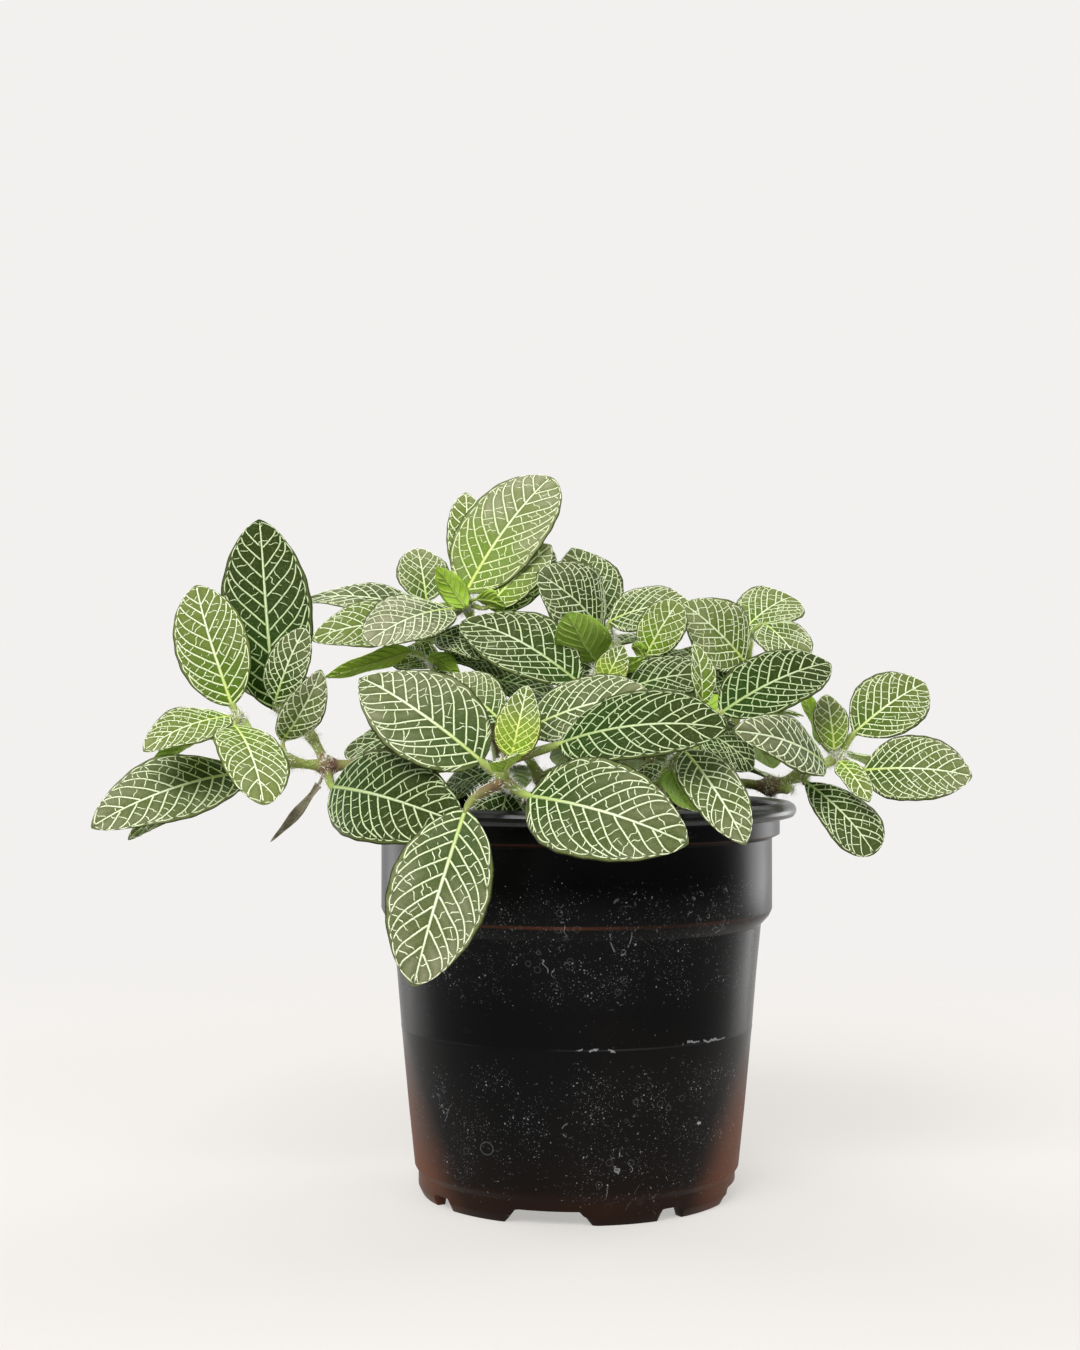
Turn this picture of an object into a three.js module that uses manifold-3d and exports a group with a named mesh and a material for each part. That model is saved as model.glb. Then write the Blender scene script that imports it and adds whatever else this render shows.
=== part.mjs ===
import * as THREE from 'three';
import { mergeVertices } from 'three/addons/utils/BufferGeometryUtils.js';
import Module from 'manifold-3d';

const wasm = await Module();
wasm.setup();

// A nerve plant in its 12 cm nursery pot. Millimetres, Z up, the floor at zero.
// The viewer stands on the side of minus Y. Every place is told from the pot's axis.

// Driving sizes of the pot
const RIM_RADIUS = 60;
const POT_HEIGHT = 106;
const WALL = 1.2;
const LIP_DEPTH = 4.2;
const NECK_RADIUS = 55.5;
const NECK_BOTTOM = 96.4;
const COLLAR_RADIUS = 53.4;
const COLLAR_BOTTOM = 77.2;
const SHOULDER_RADIUS = 50.4;
const SHOULDER_HEIGHT = 73;
const RIDGE_RADIUS = 47.7;
const RIDGE_HEIGHT = 45;
const RIDGE_RISE = 0.3;
const WALL_FOOT_RADIUS = 44.2;
const WALL_FOOT_HEIGHT = 7.6;
const FOOT_RADIUS = 43.2;
const FOOT_HEIGHT = 6;
const FOOT_EDGE = 2.2;
const BASE_UNDERSIDE = 4.3;
const POT_SIDES = 40;

// Feet and drain holes
const NOTCH_COUNT = 8;
const FIRST_NOTCH_ANGLE = -11;
const WIDE_NOTCH = { bottom: 23, top: 17, height: 3.8 };
const NARROW_NOTCH = { bottom: 7, top: 6, height: 3.2 };
const NOTCH_LENGTH = 16;
const DRAIN_RADIUS = 4;
const DRAIN_RING = 27;
const DRAIN_COUNT = 6;
const DRAIN_LENGTH = 4;
const DRAIN_SIDES = 12;

// Soil
const SOIL_GAP = 0.35;
const SOIL_EDGE_HEIGHT = 93;
const SOIL_MOUND = 3;
const SOIL_LUMP = 0.9;
const SOIL_RINGS = [43, 31, 18, 0];
const SOIL_SIDES = 24;

// Stems and leaves
const STEM_RADIUS = 1.5;
const STEM_SIDES = 5;
const STEM_STEP = 9;
const HOLE_GAP = 0.3;
const HOLE_CLEARANCE = 0.9;
const HOLE_TOP = 104;
const HOLE_SIDES = 8;
const STALK_RADIUS = 1;
const BLADE_THICKNESS = 0.8;
const BLADE_ROOT_WIDTH = 2.2;
const BLADE_TIP_WIDTH = 1.2;
const LONG_BLADE = 34;
const SHORT_BLADE = 18;

const point = ([x, y, z]) => new THREE.Vector3(x, y, z);
const degrees = THREE.MathUtils.degToRad;

// A blade grows from base to tip, and face is the way that its upper side looks.
// Arch and curl are shares of its length, fold and cup are slopes across it, and
// root and taper say how blunt its outline is at the base and the tip, blunter when smaller.
const USUAL_FORM = {
  arch: 0.07, curl: 0.05, fold: 0.16, cup: 0.1, wave: 0.6, phase: 0, root: 0.64, taper: 0.74,
};

function leaf(base, tip, width, face, form = {}) {
  return { base, tip, width, face, ...USUAL_FORM, ...form };
}

// Each leafy stem: its paths start in the soil or on another path, and every petiole starts at
// the nearest point of a path. The first two points of the first path stand in the soil.
const LEAFY_STEMS = {
  stem_left: {
    paths: [
      [
        [-36, -8, 84], [-36, -8, 97], [-46, -11, 112], [-58, -14, 116],
        [-67, -15, 116], [-77, -19.5, 117.5], [-84, -23, 122], [-89, -25, 129],
      ],
      [[-67, -15, 116], [-72, -10, 124], [-79, -8, 131]],
    ],
    leaves: [
      leaf([-65, -21, 110.5], [-30, -60, 104], 26, [-0.6, -0.65, 0.45]),
      leaf([-69, -16, 111], [-82, -18, 96], 2.6, [-0.2, -0.9, 0.2], { arch: -0.1, fold: 0.5 }),
      leaf([-89, -17, 114], [-124, -42, 102.5], 22, [0.1, -0.7, 0.65]),
      leaf([-88, -13, 111], [-118, -28, 98.5], 16, [0.1, -0.3, 0.95]),
      leaf([-90, -21, 125], [-114, -18, 117], 12, [0, 0.2, 1]),
      leaf([-91, -27, 129], [-111, -42, 121.5], 16, [0, -0.6, 0.8]),
      leaf([-91, -24, 132], [-103, -13, 165], 20, [-0.1, -0.9, 0.3]),
      leaf([-90, -29, 127], [-78, -57, 109], 19, [0.25, -0.35, 0.9], { taper: 0.6 }),
      leaf([-82, -7, 131], [-88.5, 8, 185], 25, [0.1, -0.95, 0.2]),
      leaf([-81, -13, 133], [-73, -16, 153], 12.5, [-0.2, -0.95, 0.1]),
      leaf([-79, -15, 123], [-67.5, -24, 141], 11.5, [0.5, -0.8, 0.2], { fold: 0.3 }),
      leaf([-80, -1, 131], [-91, 32, 141], 20, [0, -0.3, 1]),
    ],
  },
  stem_front: {
    paths: [[[-12, -36, 84], [-12, -36, 97], [-14, -43, 108], [-19, -54, 113.5], [-19, -57.5, 118.5]]],
    leaves: [
      leaf([-24.5, -51, 118], [-57.5, -30, 140.5], 26, [-0.2, -0.75, 0.6], { root: 0.56, taper: 0.9 }),
      leaf([-17, -58, 119.5], [-13, -54, 137.5], 11.5, [0, -0.97, 0.15], { fold: 0.3, taper: 0.9, root: 0.5 }),
      leaf([-19, -62, 116], [-17, -69, 120], 8, [0, -0.5, 0.8]),
      leaf([-5, -52, 122.5], [34.5, -73, 128], 24, [0.1, -0.75, 0.6]),
      leaf([-28, -68, 107], [-40, -81, 66.5], 24.5, [0, -0.95, 0.3], { root: 0.7 }),
      leaf([-12.5, -64, 110], [24, -86, 101], 27, [0, -0.95, 0.4], { root: 0.56 }),
      leaf([-18, -49, 111], [-21, -40, 98], 15, [0, -0.9, 0.4]),
    ],
  },
  stem_front_middle: {
    paths: [[[-6, -20, 84], [-6, -20, 97], [-10, -29, 113], [-17, -38, 124]]],
    leaves: [
      leaf([-13, -40, 126], [18, -48, 135.5], 20, [0, -0.75, 0.65]),
      leaf([-20, -36, 128], [-36, -24, 140], 16, [-0.1, -0.8, 0.6]),
      leaf([-20, -33, 115], [-38, -24, 108], 15, [0, -0.6, 0.75]),
      leaf([-7, -31, 115.5], [14, -36, 110.5], 15, [0, -0.4, 0.9]),
    ],
  },
  stem_middle: {
    paths: [[[8, -8, 84], [8, -8, 97], [7, -16, 118], [4, -25, 135], [5, -21, 140]]],
    leaves: [
      leaf([0, -29, 138], [-31, -14, 156], 24, [0.1, -0.7, 0.7]),
      leaf([11, -23, 135.5], [35, -21, 141], 17, [0, -0.7, 0.7]),
      leaf([7, -25, 138], [12, -26, 148], 9, [0, -0.95, 0.2], { taper: 0.95, root: 0.6 }),
      leaf([10, -22, 140], [17, -25, 145], 5, [0.3, 0.5, 0.8]),
      leaf([5, -17, 144], [-3, -30, 157], 15, [0, 0.8, 0.5], { arch: -0.1 }),
    ],
  },
  stem_left_middle: {
    paths: [[[-26, -6, 84], [-26, -6, 97], [-32, -6, 122], [-39, -8, 144]]],
    leaves: [
      leaf([-45, -9, 147], [-68, -14, 139.5], 11, [0, 0.5, 0.85], { arch: 0, curl: 0, taper: 1 }),
      leaf([-38, -14, 141], [-20, -28, 136], 5, [0, -0.7, 0.7], { arch: -0.1, fold: 0.5 }),
      leaf([-38, -2, 124], [-63.5, -4, 119.5], 14, [0, -0.5, 0.85], { taper: 0.45 }),
      leaf([-34, 0, 124], [-46, 20, 120], 14, [-0.1, 0.2, 1]),
      leaf([-38, -3, 143], [-52, 6, 146.5], 13, [-0.1, -0.6, 0.75]),
      leaf([-40, -12, 145.5], [-31, -15, 139.5], 7, [0, 0.8, 0.5]),
    ],
  },
  stem_top: {
    paths: [[[-18, 6, 84], [-18, 6, 97], [-22, 4, 124], [-27, 0, 148], [-30, -4, 160]]],
    leaves: [
      leaf([-30, -6, 163], [-7, 8.5, 197], 25, [-0.2, -0.9, 0.4], { taper: 0.62, root: 0.52 }),
      leaf([-29, -1, 163], [-31, 14, 193], 12, [0, -0.9, 0.4]),
      leaf([-41, -3, 160.5], [-44, 4, 176], 14.5, [0.1, -0.8, 0.5]),
      leaf([-30, -9, 158.5], [-38, -13, 169.5], 7.5, [-0.2, 0.9, 0.3], { taper: 0.95 }),
      leaf([-34, -9, 158], [-55, -28, 149.5], 20, [-0.1, -0.75, 0.65], { taper: 0.6 }),
      leaf([-42, -1, 154], [-72, -8, 151], 18, [0, -0.7, 0.7]),
      leaf([-40, 8, 157], [-78, 16, 163], 17, [0, -0.45, 0.9]),
      leaf([-24, -8, 158.5], [-7, -3, 176.5], 13, [0.1, -0.85, 0.5]),
      leaf([-27, -9, 161], [-19, -12, 159], 7, [0, 0.6, 0.6]),
      leaf([-22, 12, 158], [-7, 25, 178], 17, [0, -0.7, 0.7]),
      leaf([-20, 11, 127], [-14, 38, 126], 16, [0, 0.1, 1]),
      leaf([-30, 6, 150], [-44, 26, 150], 16, [-0.1, 0.1, 1]),
      leaf([-23, 4, 139], [-3, 8, 132], 17, [0, -0.55, 0.8]),
      leaf([-36, -4, 148], [-19, -7, 141], 13, [0, -0.6, 0.8]),
      leaf([-38, -9, 151], [-20, -18, 145], 15, [0, -0.6, 0.8]),
    ],
  },
  stem_centre: {
    paths: [[[10, 12, 84], [10, 12, 97], [11, 9, 124], [9, 1, 151]]],
    leaves: [
      leaf([7, -1, 152], [-10, -14, 168], 24, [0.1, -0.85, 0.5]),
      leaf([7, 4, 155], [-1, 13, 177], 19, [0, -0.85, 0.5], { taper: 0.9 }),
      leaf([9, 0, 155], [31, -2, 160.5], 19, [0, -0.65, 0.75]),
      leaf([14, 14, 123], [20, 38, 120], 15, [0, 0.1, 1]),
      leaf([12, 11, 149], [24, 28, 152], 16, [0.1, 0.1, 1]),
      leaf([10, 3, 143], [-3, 0, 139], 10, [0, -0.7, 0.6]),
    ],
  },
  stem_centre_right: {
    paths: [[[20, 0, 84], [20, 0, 97], [20, -6, 124], [19, -12, 144]]],
    leaves: [
      leaf([18.5, -14.5, 145.5], [27, -15, 160], 13, [-0.1, -0.9, 0.3], { taper: 0.6 }),
      leaf([21, -13, 145], [32, -12, 143.5], 11, [0, -0.5, 0.85]),
      leaf([18, -14, 145], [15, -17, 149], 4, [0, 0.6, 0.8]),
    ],
  },
  stem_right_middle: {
    paths: [[[34, 8, 84], [34, 8, 97], [42, 6, 120], [47, 4, 140], [48, 8, 151]]],
    leaves: [
      leaf([46, -1, 144], [29, -9, 160], 20, [-0.1, -0.9, 0.5], { taper: 0.85 }),
      leaf([46, 9, 152], [61.5, 18, 163.5], 20, [0, -0.6, 0.8], { taper: 0.55, root: 0.8 }),
      leaf([52, 3.5, 154.5], [61.5, -5, 143], 18, [0.4, -0.8, 0.4]),
      leaf([46, 9, 121], [62, 14, 127], 14, [-0.2, 0, 1]),
      leaf([46, 10, 141], [44, 30, 145], 14, [0, 0.2, 1]),
      leaf([43, 0, 137], [26, -4, 146], 15, [0, -0.75, 0.6]),
    ],
  },
  stem_right_front: {
    paths: [[[26, -18, 84], [26, -18, 97], [30, -26, 116], [34, -32, 128]]],
    leaves: [
      leaf([37, -31, 130], [67.5, -18, 144.5], 20.5, [0.1, -0.7, 0.7]),
      leaf([32, -30, 131.5], [30.5, -28, 148.5], 7.5, [0.5, -0.85, 0.1], { fold: 0.5 }),
      leaf([31, -28, 126], [46, -29, 116], 18, [0.2, -0.6, 0.7]),
      leaf([27, -21, 112], [13, -20, 108], 15, [0, -0.7, 0.6]),
    ],
  },
  stem_rim_front: {
    paths: [[[14, -36, 84], [14, -36, 97], [19, -46, 110], [23, -53, 118]]],
    leaves: [
      leaf([25.5, -57, 121], [39.5, -72, 99.5], 15, [0.1, -0.85, 0.5]),
      leaf([22.5, -55, 116], [28, -62, 106], 12, [-0.6, 0.6, 0.2]),
    ],
  },
  stem_right: {
    paths: [
      [[38, 0, 84], [38, 0, 97], [42, -6, 110], [52, -12, 110.5], [60, -12, 113.5], [70, -12, 118]],
      [[52, -12, 110.5], [58, -15, 109.6]],
    ],
    leaves: [
      leaf([69, -13, 120], [68, -5, 135.5], 9.5, [0, -0.95, 0.2], { taper: 0.78 }),
      leaf([75, -8, 124.5], [96.5, 2, 139], 20, [-0.1, -0.85, 0.45], { taper: 0.8, root: 0.75 }),
      leaf([77, -12, 114.5], [104, -22, 114], 21, [0, -0.85, 0.5]),
      leaf([70, -15, 117], [76, -28, 107.5], 8, [0, -0.7, 0.7]),
      leaf([61, -14, 111.5], [78, -26, 94], 16, [0.1, -0.75, 0.6], { taper: 0.5, root: 0.9 }),
      leaf([66, -17, 116], [40, -48, 126.5], 15.5, [0.2, -0.9, 0.45]),
      leaf([66, -8, 122], [62, 0, 136], 7, [0.5, 0.6, 0.5]),
      leaf([72, -8, 119], [88, 14, 112], 12, [0, -0.2, 1]),
    ],
  },
  stem_back_left: {
    paths: [[[-22, 24, 84], [-22, 24, 97], [-22, 34, 112], [-24, 50, 124], [-24, 54, 130]]],
    leaves: [
      leaf([-28, 36, 113], [-57, 46, 108], 21, [-0.1, 0.2, 1]),
      leaf([-21, 40, 114], [-19, 72, 105.5], 18, [0, 0.4, 0.9]),
      leaf([-27, 56, 125], [-44, 88, 114], 22, [-0.1, 0.6, 0.8]),
      leaf([-25, 46, 127], [-40, 24, 138], 20, [-0.1, -0.3, 1]),
      leaf([-24, 58, 131], [-28, 66, 145], 11, [0, 0.9, 0.3]),
    ],
  },
  stem_back: {
    paths: [[[2, 30, 84], [2, 30, 97], [4, 40, 118], [6, 52, 132]]],
    leaves: [
      leaf([2, 44, 119], [3, 76, 109], 19, [0, 0.35, 0.95]),
      leaf([8, 42, 119], [32, 62, 110], 21, [0.1, 0.4, 0.9]),
      leaf([6, 58, 132], [4, 92, 122], 22, [0, 0.5, 0.85]),
      leaf([6, 46, 134], [4, 20, 142], 18, [0, -0.3, 1]),
      leaf([2, 54, 134], [-12, 60, 146], 13, [-0.3, 0.5, 0.8]),
      leaf([10, 54, 134], [24, 58, 145], 13, [0.3, 0.5, 0.8]),
    ],
  },
  stem_back_right: {
    paths: [[[24, 22, 84], [24, 22, 97], [32, 32, 114], [40, 42, 126]]],
    leaves: [
      leaf([36, 29, 115], [60, 16, 110], 19, [0.2, 0.1, 1]),
      leaf([44, 46, 126], [62, 68, 114], 21, [0.3, 0.4, 0.85]),
      leaf([36, 38, 129], [20, 26, 142], 17, [-0.3, -0.2, 1]),
      leaf([44, 38, 128], [66, 28, 130], 16, [0.2, 0, 1]),
      leaf([40, 46, 129], [40, 58, 141], 12, [0, 0.8, 0.5]),
    ],
  },
};

function closedBody(places, corners) {
  return new wasm.Manifold(new wasm.Mesh({
    numProp: 3,
    vertProperties: places,
    triVerts: Uint32Array.from(corners),
  }));
}

// Closed triangles of a three.js shape as a solid, turned so that they face outwards
function solid(geometry) {
  geometry.deleteAttribute('normal');
  geometry.deleteAttribute('uv');
  const merged = mergeVertices(geometry, 1e-3);
  const places = Float32Array.from(merged.attributes.position.array);
  const corners = [];
  for (let i = 0; i < merged.index.count; i += 3) {
    const [a, b, c] = [0, 1, 2].map((k) => merged.index.getX(i + k));
    if (a !== b && b !== c && c !== a) corners.push(a, b, c);
  }
  const body = closedBody(places, corners);
  if (body.volume() > 0) return body;
  for (let i = 0; i < corners.length; i += 3) [corners[i], corners[i + 1]] = [corners[i + 1], corners[i]];
  return closedBody(places, corners);
}

function namedMesh(name, body, material) {
  const cut = body.getMesh();
  const geometry = new THREE.BufferGeometry();
  const places = new Float32Array(cut.numVert * 3);
  for (let i = 0; i < cut.numVert; i += 1) {
    for (let k = 0; k < 3; k += 1) places[3 * i + k] = cut.vertProperties[cut.numProp * i + k];
  }
  geometry.setAttribute('position', new THREE.BufferAttribute(places, 3));
  geometry.setIndex(new THREE.BufferAttribute(Uint32Array.from(cut.triVerts), 1));
  geometry.computeVertexNormals();
  const mesh = new THREE.Mesh(geometry, material);
  mesh.name = name;
  return mesh;
}

// A turned shape whose profile is a list of [radius, height]
function turned(profile, sides) {
  const points = profile.map(([radius, height]) => new THREE.Vector2(radius, height));
  return new THREE.LatheGeometry(points, sides).rotateX(Math.PI / 2);
}

// Pot: the inside follows the outside one wall thickness in
const INSIDE = [
  [NECK_RADIUS - WALL, NECK_BOTTOM + 2],
  [COLLAR_RADIUS - WALL, NECK_BOTTOM - 1],
  [COLLAR_RADIUS - WALL - 0.1, COLLAR_BOTTOM + 1],
  [SHOULDER_RADIUS - WALL, SHOULDER_HEIGHT],
  [RIDGE_RADIUS - WALL, RIDGE_HEIGHT],
  [WALL_FOOT_RADIUS - WALL, WALL_FOOT_HEIGHT],
];

function potProfile() {
  const lipBottom = POT_HEIGHT - LIP_DEPTH;
  return [
    [0, BASE_UNDERSIDE],
    [FOOT_RADIUS - 2 * WALL, BASE_UNDERSIDE],
    [FOOT_RADIUS - 2 * WALL - 1, 0],
    [FOOT_RADIUS - FOOT_EDGE * 0.5, 0],
    [FOOT_RADIUS, FOOT_EDGE],
    [FOOT_RADIUS, FOOT_HEIGHT],
    [WALL_FOOT_RADIUS, WALL_FOOT_HEIGHT],
    [RIDGE_RADIUS, RIDGE_HEIGHT - 1],
    [RIDGE_RADIUS + RIDGE_RISE, RIDGE_HEIGHT],
    [RIDGE_RADIUS + 0.1, RIDGE_HEIGHT + 1],
    [SHOULDER_RADIUS, SHOULDER_HEIGHT],
    [COLLAR_RADIUS - 0.8, COLLAR_BOTTOM - 1.8],
    [COLLAR_RADIUS, COLLAR_BOTTOM],
    [COLLAR_RADIUS, NECK_BOTTOM],
    [NECK_RADIUS, NECK_BOTTOM + 1],
    [NECK_RADIUS, lipBottom],
    [RIM_RADIUS - 0.6, lipBottom],
    [RIM_RADIUS, lipBottom + 0.8],
    [RIM_RADIUS, POT_HEIGHT - 1.2],
    [RIM_RADIUS - 1.2, POT_HEIGHT],
    [NECK_RADIUS - WALL + 1.5, POT_HEIGHT],
    [NECK_RADIUS - WALL, POT_HEIGHT - 1.5],
    ...INSIDE,
    [WALL_FOOT_RADIUS - 2 * WALL, BASE_UNDERSIDE + WALL],
    [0, BASE_UNDERSIDE + WALL],
  ];
}

function notch({ bottom, top, height }, angle) {
  const outline = new THREE.Shape([
    new THREE.Vector2(-bottom / 2, -1),
    new THREE.Vector2(bottom / 2, -1),
    new THREE.Vector2(top / 2, height),
    new THREE.Vector2(-top / 2, height),
  ]);
  const shape = new THREE.ExtrudeGeometry(outline, { depth: NOTCH_LENGTH, bevelEnabled: false });
  shape.rotateX(Math.PI / 2);
  shape.translate(0, -(FOOT_RADIUS - NOTCH_LENGTH / 2), 0);
  shape.rotateZ(degrees(angle));
  return solid(shape);
}

function drainHole(x, y) {
  const hole = new THREE.CylinderGeometry(DRAIN_RADIUS, DRAIN_RADIUS, DRAIN_LENGTH, DRAIN_SIDES);
  hole.rotateX(Math.PI / 2);
  hole.translate(x, y, BASE_UNDERSIDE + WALL / 2);
  return solid(hole);
}

function pot() {
  let body = solid(turned(potProfile(), POT_SIDES));
  for (let i = 0; i < NOTCH_COUNT; i += 1) {
    const kind = i % 2 === 0 ? WIDE_NOTCH : NARROW_NOTCH;
    body = body.subtract(notch(kind, FIRST_NOTCH_ANGLE + (i * 360) / NOTCH_COUNT));
  }
  body = body.subtract(drainHole(0, 0));
  for (let i = 0; i < DRAIN_COUNT; i += 1) {
    const angle = (i * 2 * Math.PI) / DRAIN_COUNT;
    body = body.subtract(drainHole(DRAIN_RING * Math.cos(angle), DRAIN_RING * Math.sin(angle)));
  }
  return body;
}

// Soil: fills the pot, and its lumpy top is raised by a formula
function soilTop(x, y) {
  const out = Math.hypot(x, y) / COLLAR_RADIUS;
  const lump = Math.sin(0.31 * x + 0.9) * Math.cos(0.27 * y) + 0.6 * Math.sin(0.17 * x - 0.33 * y);
  return SOIL_EDGE_HEIGHT + SOIL_MOUND * (1 - out * out) + SOIL_LUMP * lump * (1 - out ** 6);
}

function soil() {
  const sides = INSIDE.slice(2).reverse().map(([radius, height]) => [radius - SOIL_GAP, height]);
  const edge = COLLAR_RADIUS - WALL - SOIL_GAP;
  const floorHeight = BASE_UNDERSIDE + WALL + SOIL_GAP;
  const rings = [edge, ...SOIL_RINGS].map((radius) => [radius, SOIL_EDGE_HEIGHT]);
  const floorRadius = WALL_FOOT_RADIUS - 2 * WALL - 2 * SOIL_GAP;
  const profile = [[0, floorHeight], [floorRadius, floorHeight], ...sides, ...rings];
  const shape = turned(profile, SOIL_SIDES);
  const places = shape.attributes.position;
  for (let i = 0; i < places.count; i += 1) {
    if (Math.abs(places.getZ(i) - SOIL_EDGE_HEIGHT) < 0.01) {
      places.setZ(i, soilTop(places.getX(i), places.getY(i)));
    }
  }
  let body = solid(shape);
  for (const { paths } of Object.values(LEAFY_STEMS)) {
    const [x, y, z] = paths[0][0];
    const radius = STEM_RADIUS + HOLE_CLEARANCE;
    const depth = HOLE_TOP - z + HOLE_GAP;
    const hole = new THREE.CylinderGeometry(radius, radius, depth, HOLE_SIDES);
    hole.rotateX(Math.PI / 2);
    hole.translate(x, y, z - HOLE_GAP + depth / 2);
    body = body.subtract(solid(hole));
  }
  return body;
}

// Stem: a slim tube along a smooth path
function stem(places) {
  const path = new THREE.CatmullRomCurve3(places.map(point));
  const outline = new THREE.Shape();
  for (let i = 0; i < STEM_SIDES; i += 1) {
    const angle = (i * 2 * Math.PI) / STEM_SIDES;
    const corner = [STEM_RADIUS * Math.cos(angle), STEM_RADIUS * Math.sin(angle)];
    if (i === 0) outline.moveTo(...corner);
    else outline.lineTo(...corner);
  }
  outline.closePath();
  const steps = Math.max(2, Math.round(path.getLength() / STEM_STEP));
  return solid(new THREE.ExtrudeGeometry(outline, { steps, bevelEnabled: false, extrudePath: path }));
}

// Half the blade's width at a share of its length: rounded at the base, pointed at the tip
function halfWidth(blade, share) {
  const widest = blade.root / (blade.root + blade.taper);
  const swell = (share / widest) ** blade.root * ((1 - share) / (1 - widest)) ** blade.taper;
  const least = THREE.MathUtils.lerp(BLADE_ROOT_WIDTH, BLADE_TIP_WIDTH, share) / 2;
  return Math.max(least, (blade.width / 2) * swell);
}

// A place in the blade: share runs from base to tip, side from one edge to the other,
// and lift is the height over its middle surface
function bladePlace(blade, share, side, lift) {
  const base = point(blade.base);
  const chord = point(blade.tip).sub(base);
  const length = chord.length();
  const along = chord.clone().normalize();
  const up = point(blade.face);
  up.addScaledVector(along, -up.dot(along)).normalize();
  const across = new THREE.Vector3().crossVectors(up, along);
  const bow = length * (blade.arch * 4 * share * (1 - share) - blade.curl * share ** 3);
  const slope = length * (blade.arch * 4 * (1 - 2 * share) - blade.curl * 3 * share ** 2);
  const heading = chord.clone().addScaledVector(up, slope).normalize();
  const normal = new THREE.Vector3().crossVectors(heading, across);
  const half = halfWidth(blade, share);
  const ripple = blade.wave * Math.sin(3 * Math.PI * share + blade.phase) * side * Math.abs(side);
  const fullness = half / (blade.width / 2);
  const rise = half * (blade.fold * Math.abs(side) - blade.cup * side ** 2) + ripple * fullness;
  return base
    .addScaledVector(chord, share)
    .addScaledVector(up, bow)
    .addScaledVector(across, side * half)
    .addScaledVector(normal, rise + lift);
}

// The stalk's end in the stem, across and through its thickness
function stalkPlace(blade, start, side, lift) {
  const heading = point(blade.base).sub(start).normalize();
  const normal = point(blade.face);
  normal.addScaledVector(heading, -normal.dot(heading)).normalize();
  const across = new THREE.Vector3().crossVectors(normal, heading);
  return start.clone().addScaledVector(across, side * STALK_RADIUS).addScaledVector(normal, lift);
}

// Leaf: one grid of triangles for the upper side, the same turned over for the lower, and a rim.
// The first row of the grid is the stalk's end in the stem.
function leafSolid(blade, start) {
  const length = point(blade.base).distanceTo(point(blade.tip));
  const bladeRows = 4 + Number(length > SHORT_BLADE) + Number(length > LONG_BLADE);
  const rows = bladeRows + 1;
  const columns = 2;
  const sheet = new THREE.PlaneGeometry(2, rows, columns, rows);
  const count = sheet.attributes.position.count;
  const places = new Float32Array(6 * count);
  for (let i = 0; i < count; i += 1) {
    const row = Math.floor(i / (columns + 1)) - 1;
    const side = sheet.attributes.position.getX(i);
    const share = (1 - Math.cos((Math.PI * row) / bladeRows)) / 2;
    for (const [face, sign] of [[0, 1], [1, -1]]) {
      const place = row < 0
        ? stalkPlace(blade, start, side, sign * STALK_RADIUS * 0.8)
        : bladePlace(blade, share, side, sign * (BLADE_THICKNESS / 2));
      place.toArray(places, 3 * (count * face + i));
    }
  }
  const corners = [];
  for (let i = 0; i < sheet.index.count; i += 3) {
    const [a, b, c] = [0, 1, 2].map((k) => sheet.index.getX(i + k));
    corners.push(a, b, c, count + a, count + c, count + b);
  }
  const rim = [];
  for (let row = 0; row < rows; row += 1) rim.push(row * (columns + 1));
  for (let column = 0; column < columns; column += 1) rim.push(rows * (columns + 1) + column);
  for (let row = rows; row > 0; row -= 1) rim.push(row * (columns + 1) + columns);
  for (let column = columns; column > 0; column -= 1) rim.push(column);
  rim.forEach((a, i) => {
    const b = rim[(i + 1) % rim.length];
    corners.push(count + a, count + b, b, count + a, b, a);
  });
  return closedBody(places, corners);
}

function leafyStem({ paths, leaves }) {
  let body = stem(paths[0]);
  for (const path of paths.slice(1)) body = body.add(stem(path));
  const joints = paths.flatMap((path, i) => path.slice(i === 0 ? 2 : 0)).map(point);
  for (const blade of leaves) {
    const base = point(blade.base);
    const [start] = joints.sort((a, b) => a.distanceTo(base) - b.distanceTo(base));
    body = body.add(leafSolid(blade, start));
  }
  return body;
}

const finish = (color, roughness) => new THREE.MeshStandardMaterial({ color, roughness, metalness: 0 });

const plant = new THREE.Group();
plant.add(namedMesh('pot', pot(), finish(0x15130f, 0.35)));
plant.add(namedMesh('soil', soil(), finish(0x2a1d13, 0.95)));
for (const [name, parts] of Object.entries(LEAFY_STEMS)) {
  plant.add(namedMesh(name, leafyStem(parts), finish(0x4f7a35, 0.5)));
}

// The origin is the middle of the whole plant's box, on the floor
const middle = new THREE.Box3().setFromObject(plant).getCenter(new THREE.Vector3());
plant.position.set(-middle.x, -middle.y, 0);

export default plant;
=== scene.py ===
import math
import random

import bmesh
import bpy
import numpy as np
from mathutils import Matrix, Vector, noise
from numpy.linalg import norm


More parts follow.
